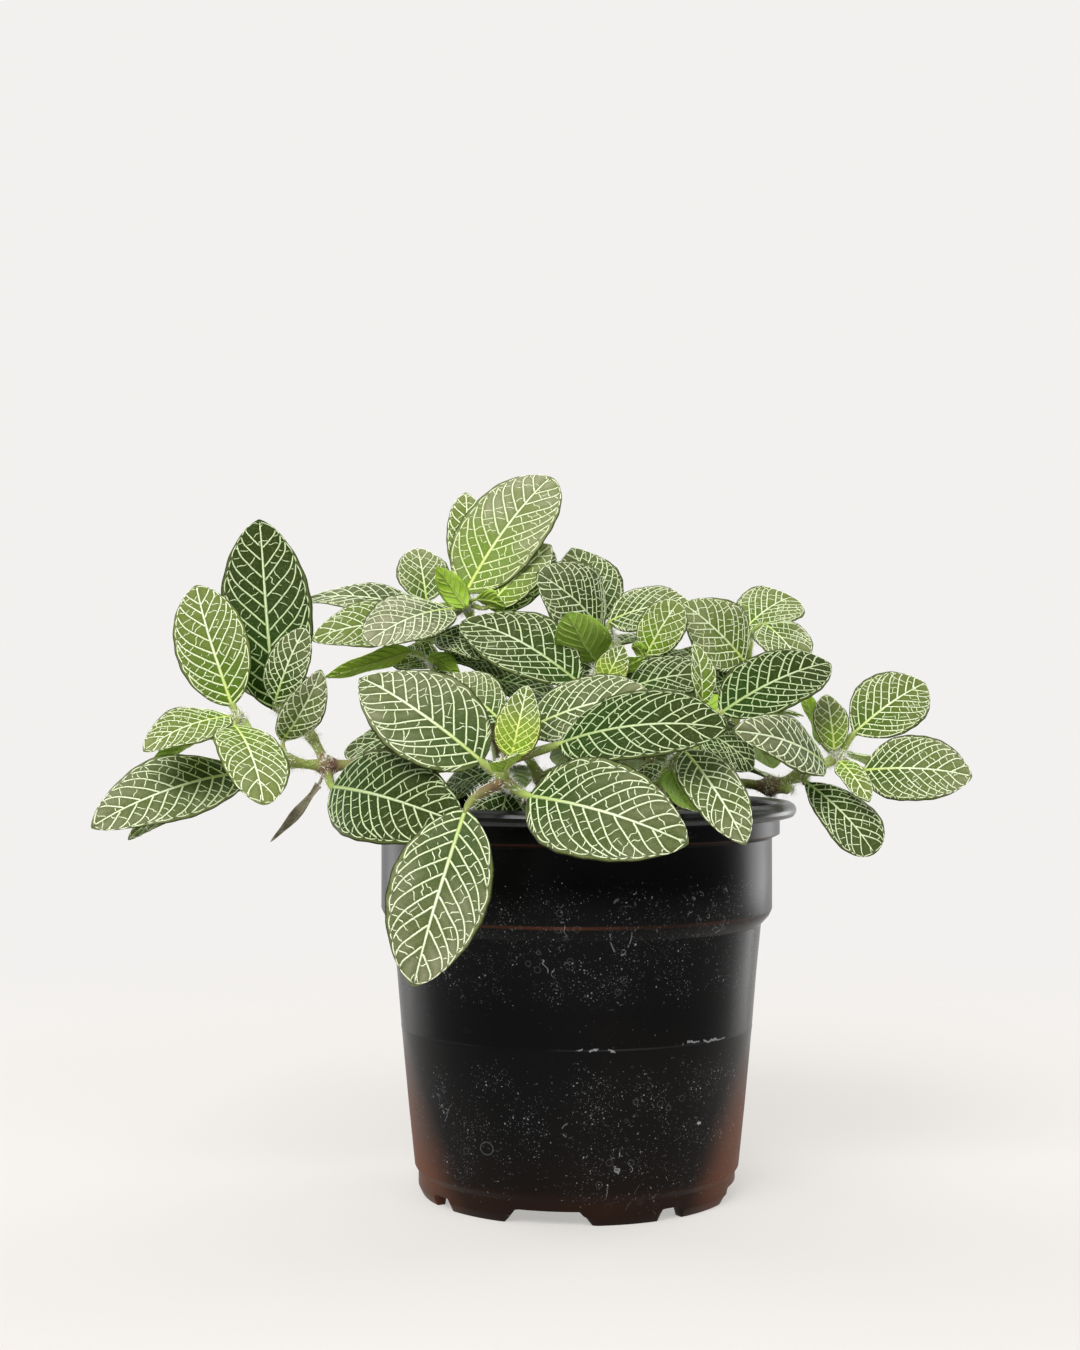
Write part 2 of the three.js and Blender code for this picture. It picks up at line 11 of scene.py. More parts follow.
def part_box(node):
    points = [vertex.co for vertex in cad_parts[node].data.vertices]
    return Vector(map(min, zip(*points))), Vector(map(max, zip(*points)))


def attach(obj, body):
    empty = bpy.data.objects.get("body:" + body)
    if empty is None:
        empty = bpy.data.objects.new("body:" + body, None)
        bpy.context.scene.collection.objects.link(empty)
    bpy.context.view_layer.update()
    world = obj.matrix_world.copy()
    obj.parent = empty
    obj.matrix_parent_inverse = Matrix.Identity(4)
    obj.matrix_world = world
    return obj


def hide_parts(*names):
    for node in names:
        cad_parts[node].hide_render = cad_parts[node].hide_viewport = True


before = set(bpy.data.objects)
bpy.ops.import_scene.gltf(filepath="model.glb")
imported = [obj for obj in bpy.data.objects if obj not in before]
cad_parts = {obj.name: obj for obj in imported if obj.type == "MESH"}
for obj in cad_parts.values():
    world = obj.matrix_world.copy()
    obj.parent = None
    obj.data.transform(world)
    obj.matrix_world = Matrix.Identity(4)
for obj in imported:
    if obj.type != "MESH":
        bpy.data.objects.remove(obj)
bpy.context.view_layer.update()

# A nerve plant in its nursery pot. Lengths are in millimetres from the pot's axis until a piece
# is placed; the viewer stands on the side of minus Y.
MM = 0.001
POT_LOW, POT_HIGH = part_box("pot")
POT_AXIS = Vector(((POT_LOW.x + POT_HIGH.x) / 2, (POT_LOW.y + POT_HIGH.y) / 2, 0))
RIM_RADIUS = (POT_HIGH.x - POT_LOW.x) / 2 / MM
POT_HEIGHT = POT_HIGH.z / MM
TO_FRAME = Matrix.Translation(POT_AXIS) @ Matrix.Scale(MM, 4)


# Leafy stems

# Where a stem starts in the soil, and where it comes out of it
ROOT_HEIGHT, OUT_OF_SOIL = 84, 97


def leaf(base, tip, width, face, age, **form):
    """A blade from base to tip; face is where its upper side looks, age is 0 when young. Arch, curl
    and fold are how far it arches up, curls down at its tip and folds at its midrib; root and taper
    shape its two ends, blunt when small; veil is how far a painted sheen pales its face, bark how brown its
    stalk"""
    shape = {"arch": 0.07, "curl": 0.05, "fold": 0.16, "root": 0.64, "taper": 0.74, "veil": 0.18, "bark": 0}
    return {"base": base, "tip": tip, "width": width, "face": face, "age": age, **shape, **form}


def rooted(x, y, *points):
    """The course of a stem that grows out of the soil at this place"""
    return [(x, y, ROOT_HEIGHT), (x, y, OUT_OF_SOIL), *points]


# Material slots of a leafy stem's mesh
BLADE, UNDERSIDE, VEIN, RIB, STALK, HAIR, WITHERED = range(7)
# Half a blade's width where it meets its stalk
ROOT_HALF = 1.1
BLADE_THICKNESS = 0.45
# How far a blade swells between its veins, sinks in across and ripples along its edges
SWELL, CUP, RIPPLE = 0.32, 0.1, 0.6
# A full-grown blade's length; the veins of shorter ones are finer
FULL_LENGTH = 48.0
WITHERED_AGE = 1.5
# A blade's rows and columns of faces, and its pairs of side veins, if it is longer than this
BLADE_GRIDS = ((30, 54, 28), (15, 40, 18), (0, 24, 12))
SIDE_VEINS = ((48, 12), (36, 10), (26, 9), (18, 8), (10, 6), (0, 5))
# The lean of a side vein from the midrib in degrees, by its place along the leaf
LEANS = ([0, 0.08, 0.3, 0.6, 1], [68, 55, 48, 43, 36])
# How far out towards the edge the ring of veins runs
VEIN_RING = 0.87
# The distance between the points of side veins and the ring, and of the small veins
VEIN_STEP, SMALL_STEP = 0.95, 0.9
# How far the middle of a vein stands over the blade by its rank, and its edges below it
VEIN_RISES, RIB_RISES, SUNK = [0.17, 0.13, 0.12, 0.11], [0.5, 0.28], -0.03
# Hairs per millimetre of stem and per tuft, and half their thickness
HAIRS, TUFT_HAIRS, HAIR_HALF = 5, 75, 0.085


def eased(low, high, value):
    share = np.clip((value - low) / (high - low), 0, 1)
    return share * share * (3 - 2 * share)


def by_length(table, length):
    """What the table gives for a blade of this length"""
    return next(row[1:] for row in table if length > row[0])


def unit(v):
    return v / norm(v)


def walked(path):
    """How far along a line of points each point is"""
    return np.concatenate([[0], np.cumsum(norm(np.diff(path, axis=0), axis=1))])


def walk_to(path, reach, distance):
    return np.array([np.interp(distance, reach, path[:, k]) for k in range(path.shape[1])])


def dense(points, widths, step):
    """A crooked line with a point at least every step"""
    points = np.array(points)
    reach = walked(points)
    inner = np.arange(step, reach[-1] - 0.4 * step, step)
    at = np.sort(np.concatenate([inner, reach]))
    at = at[np.concatenate([[True], np.diff(at[:-1]) > 0.15 * step, [True]])]
    spots = np.column_stack([np.interp(at, reach, points[:, k]) for k in range(2)])
    return spots, np.interp(at, reach, widths)


SHARES = np.linspace(0, 1, 401)


class Blade:
    """One leaf's blade: its surface, and its veins laid flat as (distance from base, distance aside)"""

    def __init__(self, form, seed):
        self.form = form
        self.dice = random.Random(seed)
        self.seed = self.dice.random()
        # Sets its patterns apart from those of the other leaves
        self.pattern = 90 * self.seed
        self.base, tip = np.array(form["base"], float), np.array(form["tip"], float)
        self.chord = tip - self.base
        self.length = float(norm(self.chord))
        self.size = max(0.3, self.length / FULL_LENGTH)
        self.stout = min(1.0, max(0.5, self.size ** 0.5))
        along = self.chord / self.length
        face = np.array(form["face"], float)
        self.up = unit(face - along * face.dot(along))
        self.across = np.cross(self.up, along)
        self.withered = form["age"] > WITHERED_AGE
        self.rows, self.columns = by_length(BLADE_GRIDS, self.length)
        row, column = np.meshgrid(np.arange(self.rows + 1), np.arange(self.columns + 1), indexing="ij")
        self.share = (1 - np.cos(np.pi * row.ravel() / self.rows)) / 2
        self.side = 2 * column.ravel() / self.columns - 1
        widest = form["root"] / (form["root"] + form["taper"])
        swell = (SHARES / widest) ** form["root"] * ((1 - SHARES) / (1 - widest)) ** form["taper"]
        scallop = 1 + 0.01 * np.sin(44 * SHARES + 6 * self.seed)
        self.outline = np.maximum(ROOT_HALF * (1 - SHARES), form["width"] / 2 * swell * scallop) + 0.02
        self.net = self.vein_net()
        self.grids = {sign: self.sheet(sign) for sign in (1, -1)}

    def half(self, share):
        """Half the width: rounded at the base, pointed at the tip, with a faintly scalloped edge"""
        return np.interp(share, SHARES, self.outline)

    def bend(self, share):
        form = self.form
        return self.length * (form["arch"] * 4 * (1 - 2 * share) - form["curl"] * 3 * share ** 2)

    def place(self, share, side, lift):
        """Points of the blade for arrays of share (base to tip), side (-1 to 1) and height over it"""
        form = self.form
        share, side, lift = (np.asarray(a, float)[:, None] for a in (share, side, lift))
        bow = self.length * (form["arch"] * 4 * share * (1 - share) - form["curl"] * share ** 3)
        heading = self.chord + self.up * self.bend(share)
        heading /= norm(heading, axis=1)[:, None]
        normal = np.cross(heading, self.across)
        half = self.half(share)
        ripple = RIPPLE * np.sin(3 * np.pi * share) * side * np.abs(side) / (form["width"] / 2)
        rise = half * (form["fold"] * np.abs(side) - CUP * side ** 2 + ripple)
        place = self.base + self.chord * share + self.up * bow + self.across * (side * half)
        return place + normal * (rise + lift)

    def sheet(self, sign):
        """The upper (1) or lower (-1) side as rows of points: the blade swells between its veins
        and thins out to its edge"""
        share, side = self.share, self.side
        spots = np.column_stack([share * self.length, side * self.half(share)])
        trunks = np.vstack([dense(line, wide, 0.5)[0] for line, wide, rank in self.net if rank < 2])
        away = np.full(len(spots), 9.0)
        for start in range(0, len(trunks), 150):
            gap = spots[:, None, :] - trunks[None, start:start + 150, :]
            away = np.minimum(away, np.sqrt((gap ** 2).sum(2)).min(1))
        self.puff = 1 - np.exp(-(away / (1.4 * self.size)) ** 2)
        swell = SWELL * self.size ** 0.5 * self.puff * (1 - side ** 8)
        thick = BLADE_THICKNESS * np.sqrt(np.clip((1 - side ** 2) * (1 - share ** 8), 0, 1))
        points = self.place(share, side, swell + sign * thick / 2)
        return points.reshape(self.rows + 1, self.columns + 1, 3)

    def on_sheet(self, spots, sign, lift):
        """Flat spots put on the built sheet, lift over it"""
        grid = self.grids[sign]
        share = np.clip(spots[:, 0] / self.length, 0, 1)
        side = np.clip(spots[:, 1] / self.half(share), -1, 1)
        row = np.clip(self.rows * np.arccos(1 - 2 * share) / np.pi, 0, self.rows - 1e-6)
        column = np.clip((side + 1) / 2 * self.columns, 0, self.columns - 1e-6)
        i, j = row.astype(int), column.astype(int)
        a, b = (row - i)[:, None], (column - j)[:, None]
        corners = [(grid[row, j], grid[row, j + 1]) for row in (i, i + 1)]
        near, far = (first * (1 - b) + second * b for first, second in corners)
        left, right = (first * (1 - a) + second * a for first, second in zip(*corners))
        normal = np.cross(far - near, right - left)
        normal /= np.maximum(norm(normal, axis=1), 1e-9)[:, None]
        return near * (1 - a) + far * a + normal * (sign * lift)[:, None]

    def side_vein(self, start, lean):
        """A vein that leaves the midrib and arches towards the tip until it nears the edge"""
        x, y = start, 0.0
        points = [(x, y)]
        step = VEIN_STEP * self.size
        wander = 0.0
        while x < 0.97 * self.length:
            half = self.half(x / self.length)
            out = y / half
            if out > VEIN_RING:
                break
            along_edge = math.atan2(self.half(x / self.length + 0.02) - half, 0.02 * self.length)
            pull = 0.75 * float(eased(0.4, 1.05, out))
            wander = 0.6 * wander + self.dice.uniform(-0.06, 0.06)
            course = (lean * (1 - 0.15 * out)) * (1 - pull) + along_edge * pull + wander
            x += step * math.cos(course)
            y += step * math.sin(course)
            points.append((x, y))
        return np.array(points)

    def vein_net(self):
        """Every vein as its flat points, its widths, and its rank from midrib (0) to edge (3)"""
        dice, size, length = self.dice, self.size, self.length
        share = np.linspace(0, 0.985, 40)
        sway = 0.15 * size * np.sin(7 * share + 6 * self.seed)
        midrib = np.column_stack([share * length, sway * share])
        net = [(midrib, self.stout * (1.4 - 0.88 * share), 0)]
        if self.withered:
            return net
        pairs = by_length(SIDE_VEINS, length)[0]
        for hand in (1, -1):
            paths = []
            for i in range(pairs):
                place = (i + (0.15 * hand + dice.uniform(-0.14, 0.14)) * (i > 0)) / pairs
                share = 0.012 + 0.9 * place ** 1.25
                lean = np.interp(share, *LEANS) + dice.uniform(-2.5, 2.5)
                paths.append(self.side_vein(share * length, math.radians(lean)))
            arcs = [self.arc(low[-1], high[-1]) for low, high in zip(paths, paths[1:])]
            arcs.append(self.arc(paths[-1][-1], np.array([0.985 * length, 0.1 * size])))
            mirror = np.array([1, hand])
            for path, arc in zip(paths, arcs):
                share = np.linspace(0, 1, len(path))
                net.append((path * mirror, self.stout * (0.7 - 0.2 * share), 1))
                net.append((arc * mirror, np.full(len(arc), 0.42 * self.stout), 2))
            inner = midrib[midrib[:, 0] > paths[-1][0, 0]]
            for low, arc, high in zip(paths, arcs, [*paths[1:], inner]):
                net += [(p * mirror, w, 2) for p, w in self.ladder(np.vstack([low, arc[1:]]), high)]
            ring = np.vstack([paths[0], *(arc[1:] for arc in arcs)])
            net += [(p * mirror, w, 3) for p, w in self.edging(ring)]
        return net

    def arc(self, start, end):
        """The ring near the edge from one side vein's end to the next, bowed outwards"""
        count = max(3, int(norm(end - start) / (VEIN_STEP * self.size)))
        share = np.linspace(0, 1, count + 1)
        x = start[0] + (end[0] - start[0]) * share
        outs = start[1] / self.half(start[0] / self.length), end[1] / self.half(end[0] / self.length)
        out = outs[0] + (outs[1] - outs[0]) * share ** 2 + 0.035 * np.sin(np.pi * share)
        return np.column_stack([x, out * self.half(x / self.length)])

    def small(self, points, widths):
        """A small vein, with its points close enough to follow the blade"""
        return dense(points, widths, SMALL_STEP * self.size)

    def ladder(self, low, high):
        """Crooked small veins that bridge two side veins, some forked or broken off"""
        dice, size = self.dice, self.size
        apart = size ** 0.6
        rungs, last = [], None
        reach = walked(high)
        at = dice.uniform(1.6, 2.8) * apart
        while at < reach[-1] - 0.6 * size:
            start = walk_to(high, reach, at)
            gaps = norm(low - start, axis=1)
            nearest = int(gaps.argmin())
            end = low[min(len(low) - 1, max(0, nearest + dice.choice([-1, 0, 0, 1])))]
            gap = gaps[nearest]
            outer = at / reach[-1]
            at += dice.uniform(1.7, 3.0) * apart * (1.2 - 0.3 * outer)
            if gap < 1.0 * size:
                continue
            aside = unit(np.array([start[1] - end[1], end[0] - start[0]]))
            count = 1 if gap < 3 * size else 2
            bends = []
            for k in range(count):
                share = (k + 1) / (count + 1) + dice.uniform(-0.12, 0.12)
                crook = dice.choice([-1, 1]) * dice.uniform(0.1, 0.55 - 0.25 * outer) * size
                bends.append(start + (end - start) * share + aside * crook)
            points = [start, *bends, end]
            width = self.stout * dice.uniform(0.32, 0.41)
            broken = dice.random() + 0.1 * outer
            widths = np.full(len(points), width)
            if broken < 0.12:
                points, widths = points[:-1], widths[:-1]
                widths[-1] *= 0.4
            elif broken < 0.2:
                points, widths = points[1:], widths[1:]
                widths[0] *= 0.4
            rungs.append(self.small(points, widths))
            middle = bends[len(bends) // 2]
            if last is not None and gap > 3 * size and dice.random() < 0.25:
                rungs.append(self.small([last, middle], np.full(2, 0.8 * width)))
            elif dice.random() < 0.3:
                turn = dice.uniform(0, 2 * math.pi)
                stub = middle + np.array([math.cos(turn), math.sin(turn)]) * dice.uniform(0.5, 1.0) * size
                rungs.append(self.small([middle, stub], np.array([0.8, 0.35]) * width))
            last = middle
        return rungs

    def edging(self, ring):
        """Short veins from the outermost ring to the edge"""
        dice, size, length = self.dice, self.size, self.length
        veins = []
        reach = walked(ring)
        at = dice.uniform(2, 3) * size
        while at < reach[-1] - 1.5 * size:
            start = walk_to(ring, reach, at)
            half = self.half(start[0] / length)
            if start[1] > 0.5 * half:
                ahead = start[0] + dice.uniform(0.1, 0.5) * (half - start[1])
                end = np.array([ahead, 0.975 * self.half(ahead / length)])
                veins.append(self.small([start, end], np.array([0.38, 0.28]) * self.stout))
            at += dice.uniform(1.5, 2.6) * size ** 0.6
        return veins


class PlantMesh:
    """Collects one leafy stem in a bmesh, with what its materials read at each point"""

    def __init__(self):
        self.bm = bmesh.new()
        self.spot = self.bm.verts.layers.float_vector.new("spot")
        self.look = self.bm.verts.layers.float_vector.new("look")
        # How strongly a painted sheen pales the blade's face at each point
        self.veil = self.bm.verts.layers.float.new("veil")
        self.puff = self.bm.verts.layers.float.new("puff")

    def grid(self, points, material, looks=None, spots=None, flip=False):
        """A sheet of faces through rows of points; looks and spots hold three values a point"""
        rows, columns = points.shape[:2]
        made = bmesh.ops.create_grid(self.bm, x_segments=columns - 1, y_segments=rows - 1, size=1)["verts"]
        for vert, place in zip(made, points.reshape(-1, 3).tolist()):
            vert.co = place
        for layer, values in ((self.look, looks), (self.spot, spots)):
            if values is not None:
                for vert, value in zip(made, values.reshape(-1, 3).tolist()):
                    vert[layer] = value
        faces = list({face for vert in made for face in vert.link_faces})
        for face in faces:
            face.material_index = material
            face.smooth = True
        if flip:
            bmesh.ops.reverse_faces(self.bm, faces=faces)
        return made

    def weld(self, verts, distance=1e-4):
        bmesh.ops.remove_doubles(self.bm, verts=verts, dist=distance)

    def strands(self, points, material, ends, looks=None, spots=None):
        """Slim closed strands of three sides, given as rows of four points whose last is the
        first again; ends are the numbers of the rows that each strand stops before"""
        made = self.grid(points, material, looks, spots)
        links, merged = set(), {}
        for start, end in zip([0, *ends[:-1]], ends):
            for row in range(start, end):
                if row in (start, end - 1):
                    merged.update({made[4 * row + k]: made[4 * row + 1] for k in (0, 2, 3)})
                else:
                    merged[made[4 * row + 3]] = made[4 * row]
            if end < len(points):
                after = set(made[4 * end:4 * end + 4])
                for vert in made[4 * end - 4:4 * end]:
                    links.update(face for face in vert.link_faces if after.intersection(face.verts))
        bmesh.ops.delete(self.bm, geom=list(links), context="FACES_ONLY")
        bmesh.ops.weld_verts(self.bm, targetmap=merged)

    def tube(self, centres, radii, sides, material, ages):
        """A round tube along a line of points, with its radius and age at each"""
        count = len(centres)
        heading = np.gradient(centres, axis=0)
        heading /= norm(heading, axis=1)[:, None]
        normal = np.cross(heading[0], [0.31, 0.2, 0.93])
        turn = np.linspace(0, 2 * np.pi, sides + 1)[:, None]
        points = np.zeros((count, sides + 1, 3))
        for k in range(count):
            normal = unit(normal - heading[k] * normal.dot(heading[k]))
            other = np.cross(heading[k], normal)
            points[k] = centres[k] + radii[k] * (np.cos(turn) * normal + np.sin(turn) * other)
        made = self.grid(points, material, np.repeat(ages, 3 * (sides + 1)))
        self.weld(made)
        for ring in (made[:sides], made[-sides - 1:-1]):
            ring = [vert for vert in ring if vert.is_valid]
            if len(ring) > 2:
                bmesh.ops.contextual_create(self.bm, geom=ring, mat_nr=material)


def placed(name, data):
    thing = bpy.data.objects.new(name, data)
    bpy.context.scene.collection.objects.link(thing)
    return thing


def settled(bm, name, *materials):
    """The bmesh as an object whose place is in its mesh"""
    bm.transform(TO_FRAME)
    mesh = bpy.data.meshes.new(name)
    bm.to_mesh(mesh)
    bm.free()
    for material in materials:
        mesh.materials.append(material)
    return placed(name, mesh)


def smooth_path(points, step):
    """A Catmull-Rom line through points, with a point about every step"""
    points = [np.array(p, float) for p in points]
    ends = [2 * points[0] - points[1], *points, 2 * points[-1] - points[-2]]
    line = []
    for before, start, end, after in zip(ends, ends[1:], ends[2:], ends[3:]):
        count = max(2, int(norm(end - start) / step))
        for t in np.arange(count) / count:
            line.append(0.5 * (2 * start + (end - before) * t
                               + (2 * before - 5 * start + 4 * end - after) * t ** 2
                               + (3 * start - before - 3 * end + after) * t ** 3))
    return np.array([*line, points[-1]])


def add_blade(plant, blade):
    """The blade's two sides welded at the edge, with the veins as low ridges on both"""
    share, side = blade.share, blade.side
    every = np.ones(len(share))
    spots = np.column_stack([share * blade.length, side * blade.half(share), blade.pattern * every])
    looks = np.column_stack([share, np.abs(side), blade.form["age"] * every])
    top = plant.grid(blade.grids[1], WITHERED if blade.withered else BLADE, looks, spots, flip=True)
    low = plant.grid(blade.grids[-1], WITHERED if blade.withered else UNDERSIDE, looks, spots)
    # The upper side carries its leaf's painted sheen and how far it swells between veins
    for vert, puff in zip(top, blade.puff.tolist()):
        vert[plant.veil] = blade.form["veil"]
        vert[plant.puff] = puff
    plant.weld(top + low, 2e-3)
    if not blade.withered:
        add_veins(plant, blade, 1, VEIN, VEIN_RISES, 1, 1)
        add_veins(plant, blade, -1, RIB, RIB_RISES, 1.25, 2)


def add_veins(plant, blade, sign, material, rises, wider, apart):
    """The veins of one side, of as many ranks as have a rise: the middle of each stands proud of
    the sheet and its edges sink in; every so many of its points are used"""
    net = [(line[::apart], wide[::apart], rank) for line, wide, rank in blade.net if rank < len(rises)]
    points = np.vstack([vein[0] for vein in net])
    widths = np.concatenate([vein[1] for vein in net]) * wider
    counts = [len(vein[0]) for vein in net]
    ends = np.cumsum(counts)
    rank = np.repeat([vein[2] for vein in net], counts)
    number = np.arange(len(points))
    first, last = np.repeat(ends - counts, counts), np.repeat(ends - 1, counts)
    course = points[np.minimum(number + 1, last)] - points[np.maximum(number - 1, first)]
    course /= np.maximum(norm(course, axis=1), 1e-9)[:, None]
    aside = np.column_stack([-course[:, 1], course[:, 0]]) * sign * widths[:, None] / 2
    middle = blade.on_sheet(points, sign, np.array(rises)[rank])
    sunk = np.full(len(points), SUNK)
    left, right = (blade.on_sheet(points + hand * aside, sign, sunk) for hand in (1, -1))
    form = np.stack([left, middle, right, left], 1)
    four = np.ones((len(points), 4))
    spots = np.stack([points[:, :1] * four, points[:, 1:] * four, blade.pattern * four], -1)
    share = points[:, :1] / blade.length
    looks = np.stack([share * four, rank[:, None] / 3 * four, blade.form["age"] * four], -1)
    plant.strands(form, material, ends.tolist(), looks, spots)


def add_stalk(plant, blade, joint):
    """The petiole: a tube that bends from the stem's joint into the blade's midrib"""
    heading = unit(blade.chord + blade.up * blade.bend(0.0))
    end = blade.base + heading * 1.2
    far = norm(end - joint)
    out = unit(blade.base - joint)
    controls = [joint, joint + out * far * 0.35, end - heading * far * 0.35, end]
    t = np.linspace(0, 1, 9)[:, None]
    line = ((1 - t) ** 3 * controls[0] + 3 * (1 - t) ** 2 * t * controls[1]
            + 3 * (1 - t) * t ** 2 * controls[2] + t ** 3 * controls[3])
    stout = min(1.1, max(0.4, blade.form["width"] / 20))
    radii = stout * np.interp(t.ravel(), [0, 0.25, 0.85, 1], [1.6, 1.2, 0.95, 0.5])
    age = min(1.0, blade.form["age"])
    ages = 0.3 + blade.form["bark"] + 0.58 * age * (1 - t.ravel())
    plant.tube(line, radii, 8, WITHERED if blade.withered else STALK, ages)
    return line, radii


def add_hairs(plant, line, radii, tufts, dice):
    """Fine hairs that stand out from a stem or stalk, thicker in tufts at these distances along it"""
    reach = walked(line)
    places = [dice.uniform(0, reach[-1]) for _ in range(int(reach[-1] * HAIRS))]
    places += [dice.gauss(tuft, 1.2) for tuft in tufts for _ in range(TUFT_HAIRS)]
    rows = []
    for at in places:
        at = min(max(at, 0.0), reach[-1] - 0.31)
        centre = walk_to(line, reach, at)
        course = unit(walk_to(line, reach, at + 0.3) - centre)
        out = np.array([dice.gauss(0, 1) for _ in range(3)])
        out = unit(out - course * out.dot(course))
        lean = unit(out + course * dice.uniform(-0.5, 0.6))
        length = dice.uniform(0.8, 2.3)
        start = centre + out * np.interp(at, reach, radii) * 0.8
        bow = course * dice.uniform(-0.3, 0.3) * length
        side = unit(np.cross(lean, course)) * HAIR_HALF
        edge = unit(np.cross(lean, side)) * HAIR_HALF
        for share, wide in ((0, 1), (0.35, 1), (1, 0.1)):
            place = start + lean * length * share + bow * share ** 2
            rows.append([place + side * wide, place + edge * wide, place - side * wide, place + side * wide])
    plant.strands(np.array(rows), HAIR, list(range(3, len(rows) + 1, 3)))


def leafy_stem(name, paths, *leaves):
    """The main stem, which comes first, its side shoots and its leaves; leaves grow from joints"""
    plant = PlantMesh()
    dice = random.Random(name)
    joints = [np.array(p, float) for i, path in enumerate(paths) for p in path[2 if i == 0 else 0:]]
    for i, path in enumerate(paths):
        line = smooth_path(path, 1.4)
        share = walked(line) / walked(line)[-1]
        thick, thin, age = (1.55, 1.15, 0.85) if i == 0 else (1.3, 1.1, 0.6)
        radii = np.interp(share, [0, 1], [thick, thin])
        ages = age - 0.75 * share ** 2
        tufts = []
        for joint in joints:
            away = norm(line - joint, axis=1)
            plump = 0.4 + 0.8 * share[away.argmin()] ** 4
            radii = radii * (1 + plump * np.exp(-(away / 2.4) ** 2))
            ages = ages + 0.22 * np.exp(-(away / 3.0) ** 2)
            if away.min() < 0.5:
                tufts.append(walked(line)[away.argmin()])
        radii[-1] = 0.12
        radii[-2] *= 0.75
        plant.tube(line, radii, 10, STALK, ages)
        add_hairs(plant, line, radii, tufts, dice)
    for k, form in enumerate(leaves):
        blade = Blade(form, f"{name} {k}")
        joint = min(joints, key=lambda j: norm(j - blade.base))
        add_blade(plant, blade)
        line, radii = add_stalk(plant, blade, joint)
        add_hairs(plant, line, radii, [0.8], dice)
    piece = settled(plant.bm, f"leafy_{name}", *FOLIAGE)
    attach(piece, "root")
    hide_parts(name)


# Shader maths

def light_of(colour):
    """The light that a screen colour of 0 to 255 stands for"""
    return [c / 255 / 12.92 if c < 10.3 else ((c / 255 + 0.055) / 1.055) ** 2.4 for c in colour]


def maths(operation):
    return lambda wire, other: wire.math(operation, other)


class Wire:
    """A socket that Python's operators add Math nodes to"""

    def __init__(self, tree, socket):
        self.tree, self.socket = tree, socket

    def math(self, operation, *others):
        inputs = dict(enumerate([self, *others]))
        return self.tree.node("ShaderNodeMath", {"operation": operation}, inputs)[0]

    def __rsub__(self, other):
        return self * -1 + other

    __add__ = __radd__ = maths("ADD")
    __mul__ = __rmul__ = maths("MULTIPLY")
    __sub__ = maths("SUBTRACT")
    __truediv__ = maths("DIVIDE")
    __pow__ = maths("POWER")


class Made:
    """A node whose outputs are fetched as wires, by name or number"""

    def __init__(self, tree, node):
        self.tree, self.node = tree, node

    def __getitem__(self, key):
        return Wire(self.tree, self.node.outputs[key])


class Wiring:
    """A node tree under construction; its colours are given as screen colours of 0 to 255"""

    def __init__(self, tree):
        self.tree = tree

    def feed(self, socket, value):
        if isinstance(value, Wire):
            self.tree.links.new(value.socket, socket)
        elif socket.type == "RGBA":
            socket.default_value = (*light_of(value), 1)
        else:
            socket.default_value = value

    def node(self, kind, settings, inputs):
        """A node of this kind: its settings first, then the values or wires of its sockets"""
        node = self.tree.nodes.new(kind)
        for key, value in settings.items():
            setattr(node, key, value)
        for key, value in inputs.items():
            self.feed(node.inputs[key], value)
        return Made(self, node)

    def split(self, vector):
        made = self.node("ShaderNodeSeparateXYZ", {}, {0: vector})
        return made[0], made[1], made[2]

    def mix(self, first, second, share):
        """A colour between two, share of the way"""
        return self.node("ShaderNodeMix", {"data_type": "RGBA"}, {0: share, 6: first, 7: second})[2]

    def over(self, low, high, value):
        """0 at low and 1 at high, eased between; low may be the greater of the two"""
        settings = {"interpolation_type": "SMOOTHSTEP"}
        return self.node("ShaderNodeMapRange", settings, {0: value, 1: low, 2: high})[0]

    def noise(self, vector, scale, detail=2.0, rough=0.5, output=0):
        inputs = {"Vector": vector, "Scale": scale, "Detail": detail, "Roughness": rough}
        return self.node("ShaderNodeTexNoise", {}, inputs)[output]

    def patches(self, low, high, *texture):
        """1 in some patches and 0 between them, from a noise"""
        return self.over(low, high, self.noise(*texture))

    def cells(self, vector, scale, feature="F1"):
        inputs = {"Vector": vector, "Scale": scale}
        return self.node("ShaderNodeTexVoronoi", {"feature": feature}, inputs)["Distance"]

    def kept(self, name, output="Vector"):
        """What the mesh keeps at each point under this name"""
        return self.node("ShaderNodeAttribute", {"attribute_name": name}, {})[output]

    def where(self, offset=(0, 0, 0)):
        """Object coordinates, moved by the offset"""
        at = self.node("ShaderNodeTexCoord", {}, {})["Object"]
        return self.node("ShaderNodeMapping", {}, {"Vector": at, "Location": offset})[0]

    def bump(self, height, distance, strength):
        inputs = {"Height": height, "Distance": distance, "Strength": strength}
        return self.node("ShaderNodeBump", {}, inputs)[0]


class Finish(Wiring):
    """A material under construction"""

    def __init__(self, name):
        self.material = bpy.data.materials.new(name)
        self.material.use_nodes = True
        super().__init__(self.material.node_tree)

    def set(self, **sockets):
        shader = self.tree.nodes["Principled BSDF"]
        for key, value in sockets.items():
            self.feed(shader.inputs[key.replace("_", " ")], value)
        return self.material


# Finishes of the leafy stems

def ripened(f, share, age):
    """The age of a place on a leaf: a young leaf is older towards its tip"""
    return age + f.over(0.3, 0.85, share) * f.over(0.4, 0.0, age) * 0.4


